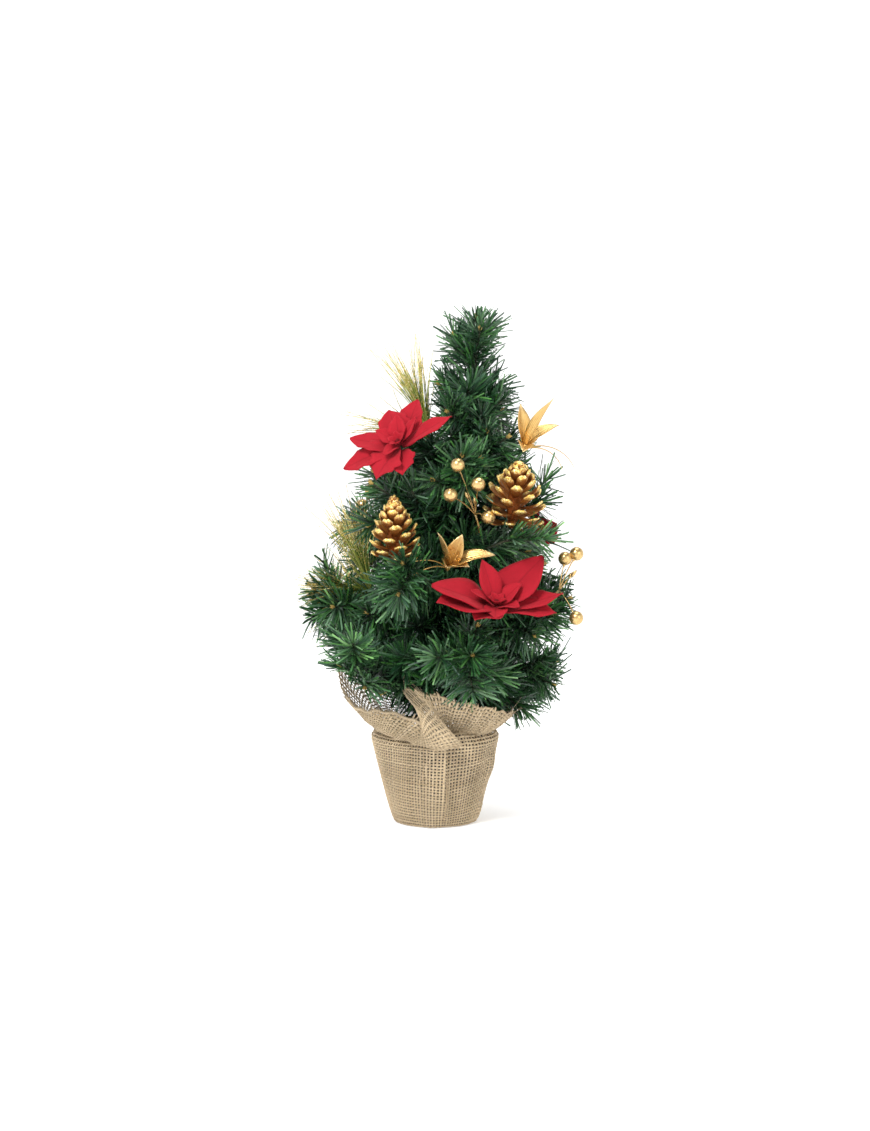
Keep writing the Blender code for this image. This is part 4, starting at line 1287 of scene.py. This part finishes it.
def make_burlap():
    """The cloth as its yarns: over the pot, in at the neck, and out again as the wider collar."""
    rng = np.random.default_rng(7)
    pile = Pile()
    half_width = YARN_WIDTH / 2
    neck_row = POT_ROWS + SHOULDER_ROWS
    pot_rows, foot_radius, foot = cloth_rows(pot_columns(POT_WARPS * 2))
    weave(pile, pot_rows[:neck_row], rng, np.full(POT_WARPS * 2, YARN_FILL))
    reach_of = collar_columns(COLLAR_WARPS * 2)
    rows = cloth_rows(reach_of)[0][neck_row - 3:]
    fill = np.interp(reach_of, (11.5, 13.2, 16.0, 17.5), (CLOSE_FILL, OPEN_FILL, OPEN_FILL, CLOSE_FILL))
    weave(pile, rows, rng, fill, True)
    count, stations = rows.shape[:2]
    down, along, normal = directions(rows)

    # under the pot: chords of the round foot
    reach = foot_radius + 0.0004
    pitch = 0.0033
    for direction in range(2):
        for k in range(int(-reach / pitch) + 1, int(reach / pitch)):
            offset = k * pitch
            half = math.sqrt(reach**2 - offset**2)
            m = max(5, int(half / pitch) * 4 + 1)
            s = np.linspace(-half, half, m)
            lift = foot - 0.00040 + 0.00022 * np.sin(math.pi * (s / pitch + k + direction))
            line = np.stack([s, np.full(m, offset), lift], -1)
            wide = np.array([0, half_width, 0])
            if direction:
                line, wide = line[:, [1, 0, 2]], wide[[1, 0, 2]]
            wide, thick = (np.broadcast_to(half, (1, m, 3)) for half in (wide, UP * 0.00020))
            strands(pile, line[None], wide, thick, grains(rng.uniform(0.2, 0.8), s)[None])
    cloth = pile.build("burlap_cloth", [JUTE], "base", "burlap", ["burlap_wrap"])

    loose = Pile()
    edge = rows[-1]
    hem_from, hem_to = (int(np.searchsorted(reach_of, c)) for c in (9.2, 12.6))
    hem = edge[hem_from:hem_to:3] + UP * 0.0006 + normal[-1, hem_from:hem_to:3] * 0.0006
    twisted(loose, hem, 0.00075, 0.0042, shade=0.95)
    peak = edge[int(np.searchsorted(reach_of, 6.0))]
    strand = peak + np.array([(0, 0, 0), (-1.2, -1, 8), (-1.5, -1, 17), (-4.2, 0, 26), (-5.8, 0, 32)]) / 1000
    twisted(loose, resampled(strand, 24)[0], 0.00055, 0.0036, shade=0.9)
    down_edge = edge[int(np.searchsorted(reach_of, 6.1)): int(np.searchsorted(reach_of, 8.9)): 3]
    twisted(loose, down_edge + UP * 0.0004, 0.0005, 0.0036, shade=0.85)
    for k in range(34):
        spot = rng.integers(0, stations)
        base = edge[spot]
        ahead = unit(edge[spot] - rows[-3][spot])
        size = rng.uniform(0.006, 0.018)
        sideways = unit(along[-1][spot]) * rng.normal(0, 0.6)
        end = base + (ahead + sideways) * size + UP * rng.normal(-0.002, 0.003)
        path = bezier(base, base + (ahead + sideways * 0.3) * size * 0.5, end, 8)
        rod(loose, path, rng.uniform(0.00010, 0.00028) * np.linspace(1, 0.5, 8), rng.uniform(0.4, 1), 4)
    for k in range(1500):
        i, j = rng.integers(0, count), rng.integers(0, stations)
        base = rows[i, j] + normal[i, j] * 0.0005
        lay = unit(unit(along[i, j]) * rng.normal(0, 1) + unit(down[i, j]) * rng.normal(0, 1))
        size = rng.uniform(0.0012, 0.0036)
        middle = base + (lay * 0.5 + normal[i, j] * 0.35) * size
        end = middle + (lay * 0.4 + normal[i, j] * rng.uniform(-0.2, 0.4)) * size
        rod(loose, np.array([base, middle, end]), 0.00006, rng.uniform(0.4, 1), 3)
    frays = loose.build("burlap_loose_yarns", [JUTE], "base", "burlap")

    tie = Pile()
    ring_height = (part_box("neck_tie")[0][2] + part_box("neck_tie")[1][2]) / 2
    for k, (lift, out) in enumerate(((-0.0010, 0.0370), (0.0014, 0.0372))):
        a = np.linspace(0, math.tau, 120)
        height = ring_height + lift + 0.0006 * np.sin(3 * a + k)
        loop = circle(a) * out + UP * height[:, None]
        twisted(tie, loop[:-1], 0.00062, 0.0040, 3, shade=0.4)
    knot = np.array([0.0, 0.0385, ring_height])
    for tail in (-1, 1):
        path = bezier(knot, knot + [0.006 * tail, 0.004, 0.003], knot + [0.013 * tail, 0.004, -0.014], 14)
        twisted(tie, path, 0.00055, 0.0038, 2, shade=0.5)
    a = np.linspace(0, math.tau * 1.15, 24)
    bight = knot + np.stack([0.0022 * np.sin(a), 0.0012 * np.cos(2 * a), 0.0026 * np.cos(a)], -1)
    twisted(tie, bight, 0.0006, 0.0040, 2, shade=0.5)
    tie.build("neck_twine", [TWINE], "base", "twine", ["neck_tie"])


# ---------------------------------------------------------------- stage


def make_floor():
    """A pale floor that curves up all round."""
    curve = np.linspace(0, math.pi / 2, 10)
    inside = [(3.4 + 0.8 * math.sin(a), 0.8 - 0.8 * math.cos(a)) for a in curve] + [(4.2, 4.0)]
    floor = Pile()
    under = [(0, -0.02), (3.4, -0.02), (4.25, 0.8), (4.25, 4.0)]
    lathe(floor, [*under, *inside[::-1], (0, 0)], np.eye(4), 64)
    mesh = bpy.data.meshes.new("floor")
    mesh.from_pydata([tuple(p) for block in floor.points for p in block], [],
                     [tuple(int(i) for i in face) for block in floor.faces for face in block])
    mesh.shade_smooth()
    paper = plain_look("floor_paper", (0.90, 0.90, 0.90), (0.93, 0.93, 0.93), 3, 0.9, 0.02)
    paper.node_tree.nodes["Principled BSDF"].inputs["Emission Color"].default_value = (1, 1, 1, 1)
    paper.node_tree.nodes["Principled BSDF"].inputs["Emission Strength"].default_value = 0.30
    mesh.materials.append(paper)
    obj = bpy.data.objects.new("floor", mesh)
    bpy.context.scene.collection.objects.link(obj)


def make_lights():
    """Soft lights, and a pale world."""
    bpy.context.scene.view_settings.view_transform = "Standard"
    world = bpy.data.worlds.new("studio")
    bpy.context.scene.world = world
    world.use_nodes = True
    world.node_tree.nodes["Background"].inputs["Color"].default_value = (1.0, 1.0, 1.0, 1)
    world.node_tree.nodes["Background"].inputs["Strength"].default_value = 0.45
    target = Vector((0, 0, 0.24))
    for name, place, size, power in (
        ("key", (-0.9, -1.5, 1.9), 0.7, 54),
        ("fill", (1.5, -1.5, 0.9), 1.2, 9),
        ("top", (0.2, 0.3, 2.2), 1.1, 20),
    ):
        data = bpy.data.lights.new(name, "AREA")
        data.size = size
        data.energy = power
        lamp = bpy.data.objects.new(name, data)
        bpy.context.scene.collection.objects.link(lamp)
        lamp.location = place
        lamp.rotation_euler = (target - lamp.location).to_track_quat("-Z", "Y").to_euler()


def make_camera():
    """The camera at the photograph's viewing angle."""
    data = bpy.data.cameras.new("camera")
    data.sensor_width = 36
    data.lens = 56.0
    camera = bpy.data.objects.new("camera", data)
    bpy.context.scene.collection.objects.link(camera)
    aim = Vector((0, 0, 0.2265))
    elevation, distance = math.radians(4.0), 1.55
    camera.location = aim + Vector((0, -math.cos(elevation), math.sin(elevation))) * distance
    camera.rotation_euler = (aim - camera.location).to_track_quat("-Z", "Y").to_euler()
    bpy.context.scene.camera = camera


def repaint(node, look):
    """Gives a CAD node that stays its detailed material."""
    materials = NODES[node].data.materials
    materials.clear()
    materials.append(look)


def main():
    make_floor()
    make_lights()
    make_camera()
    repaint("pot_cup", PLASTIC)
    repaint("ballast_plug", CEMENT)
    make_burlap()
    makers = make_poinsettia, make_lily, make_cone, make_berries, make_pine
    for row, (make, (kind, places)) in enumerate(zip(makers, PLACES.items())):
        for seed, (place, shape) in enumerate(places.items()):
            make(f"{kind}_{place}", 20 + 20 * row + seed, *shape)
    blocked = keep_clear()
    for seed, body in enumerate(sorted(b for b in JOINTS if b != "leader")):
        make_branch(body, body, blocked, 200 + seed)
    make_leader(blocked)
    make_trunk(blocked)


main()
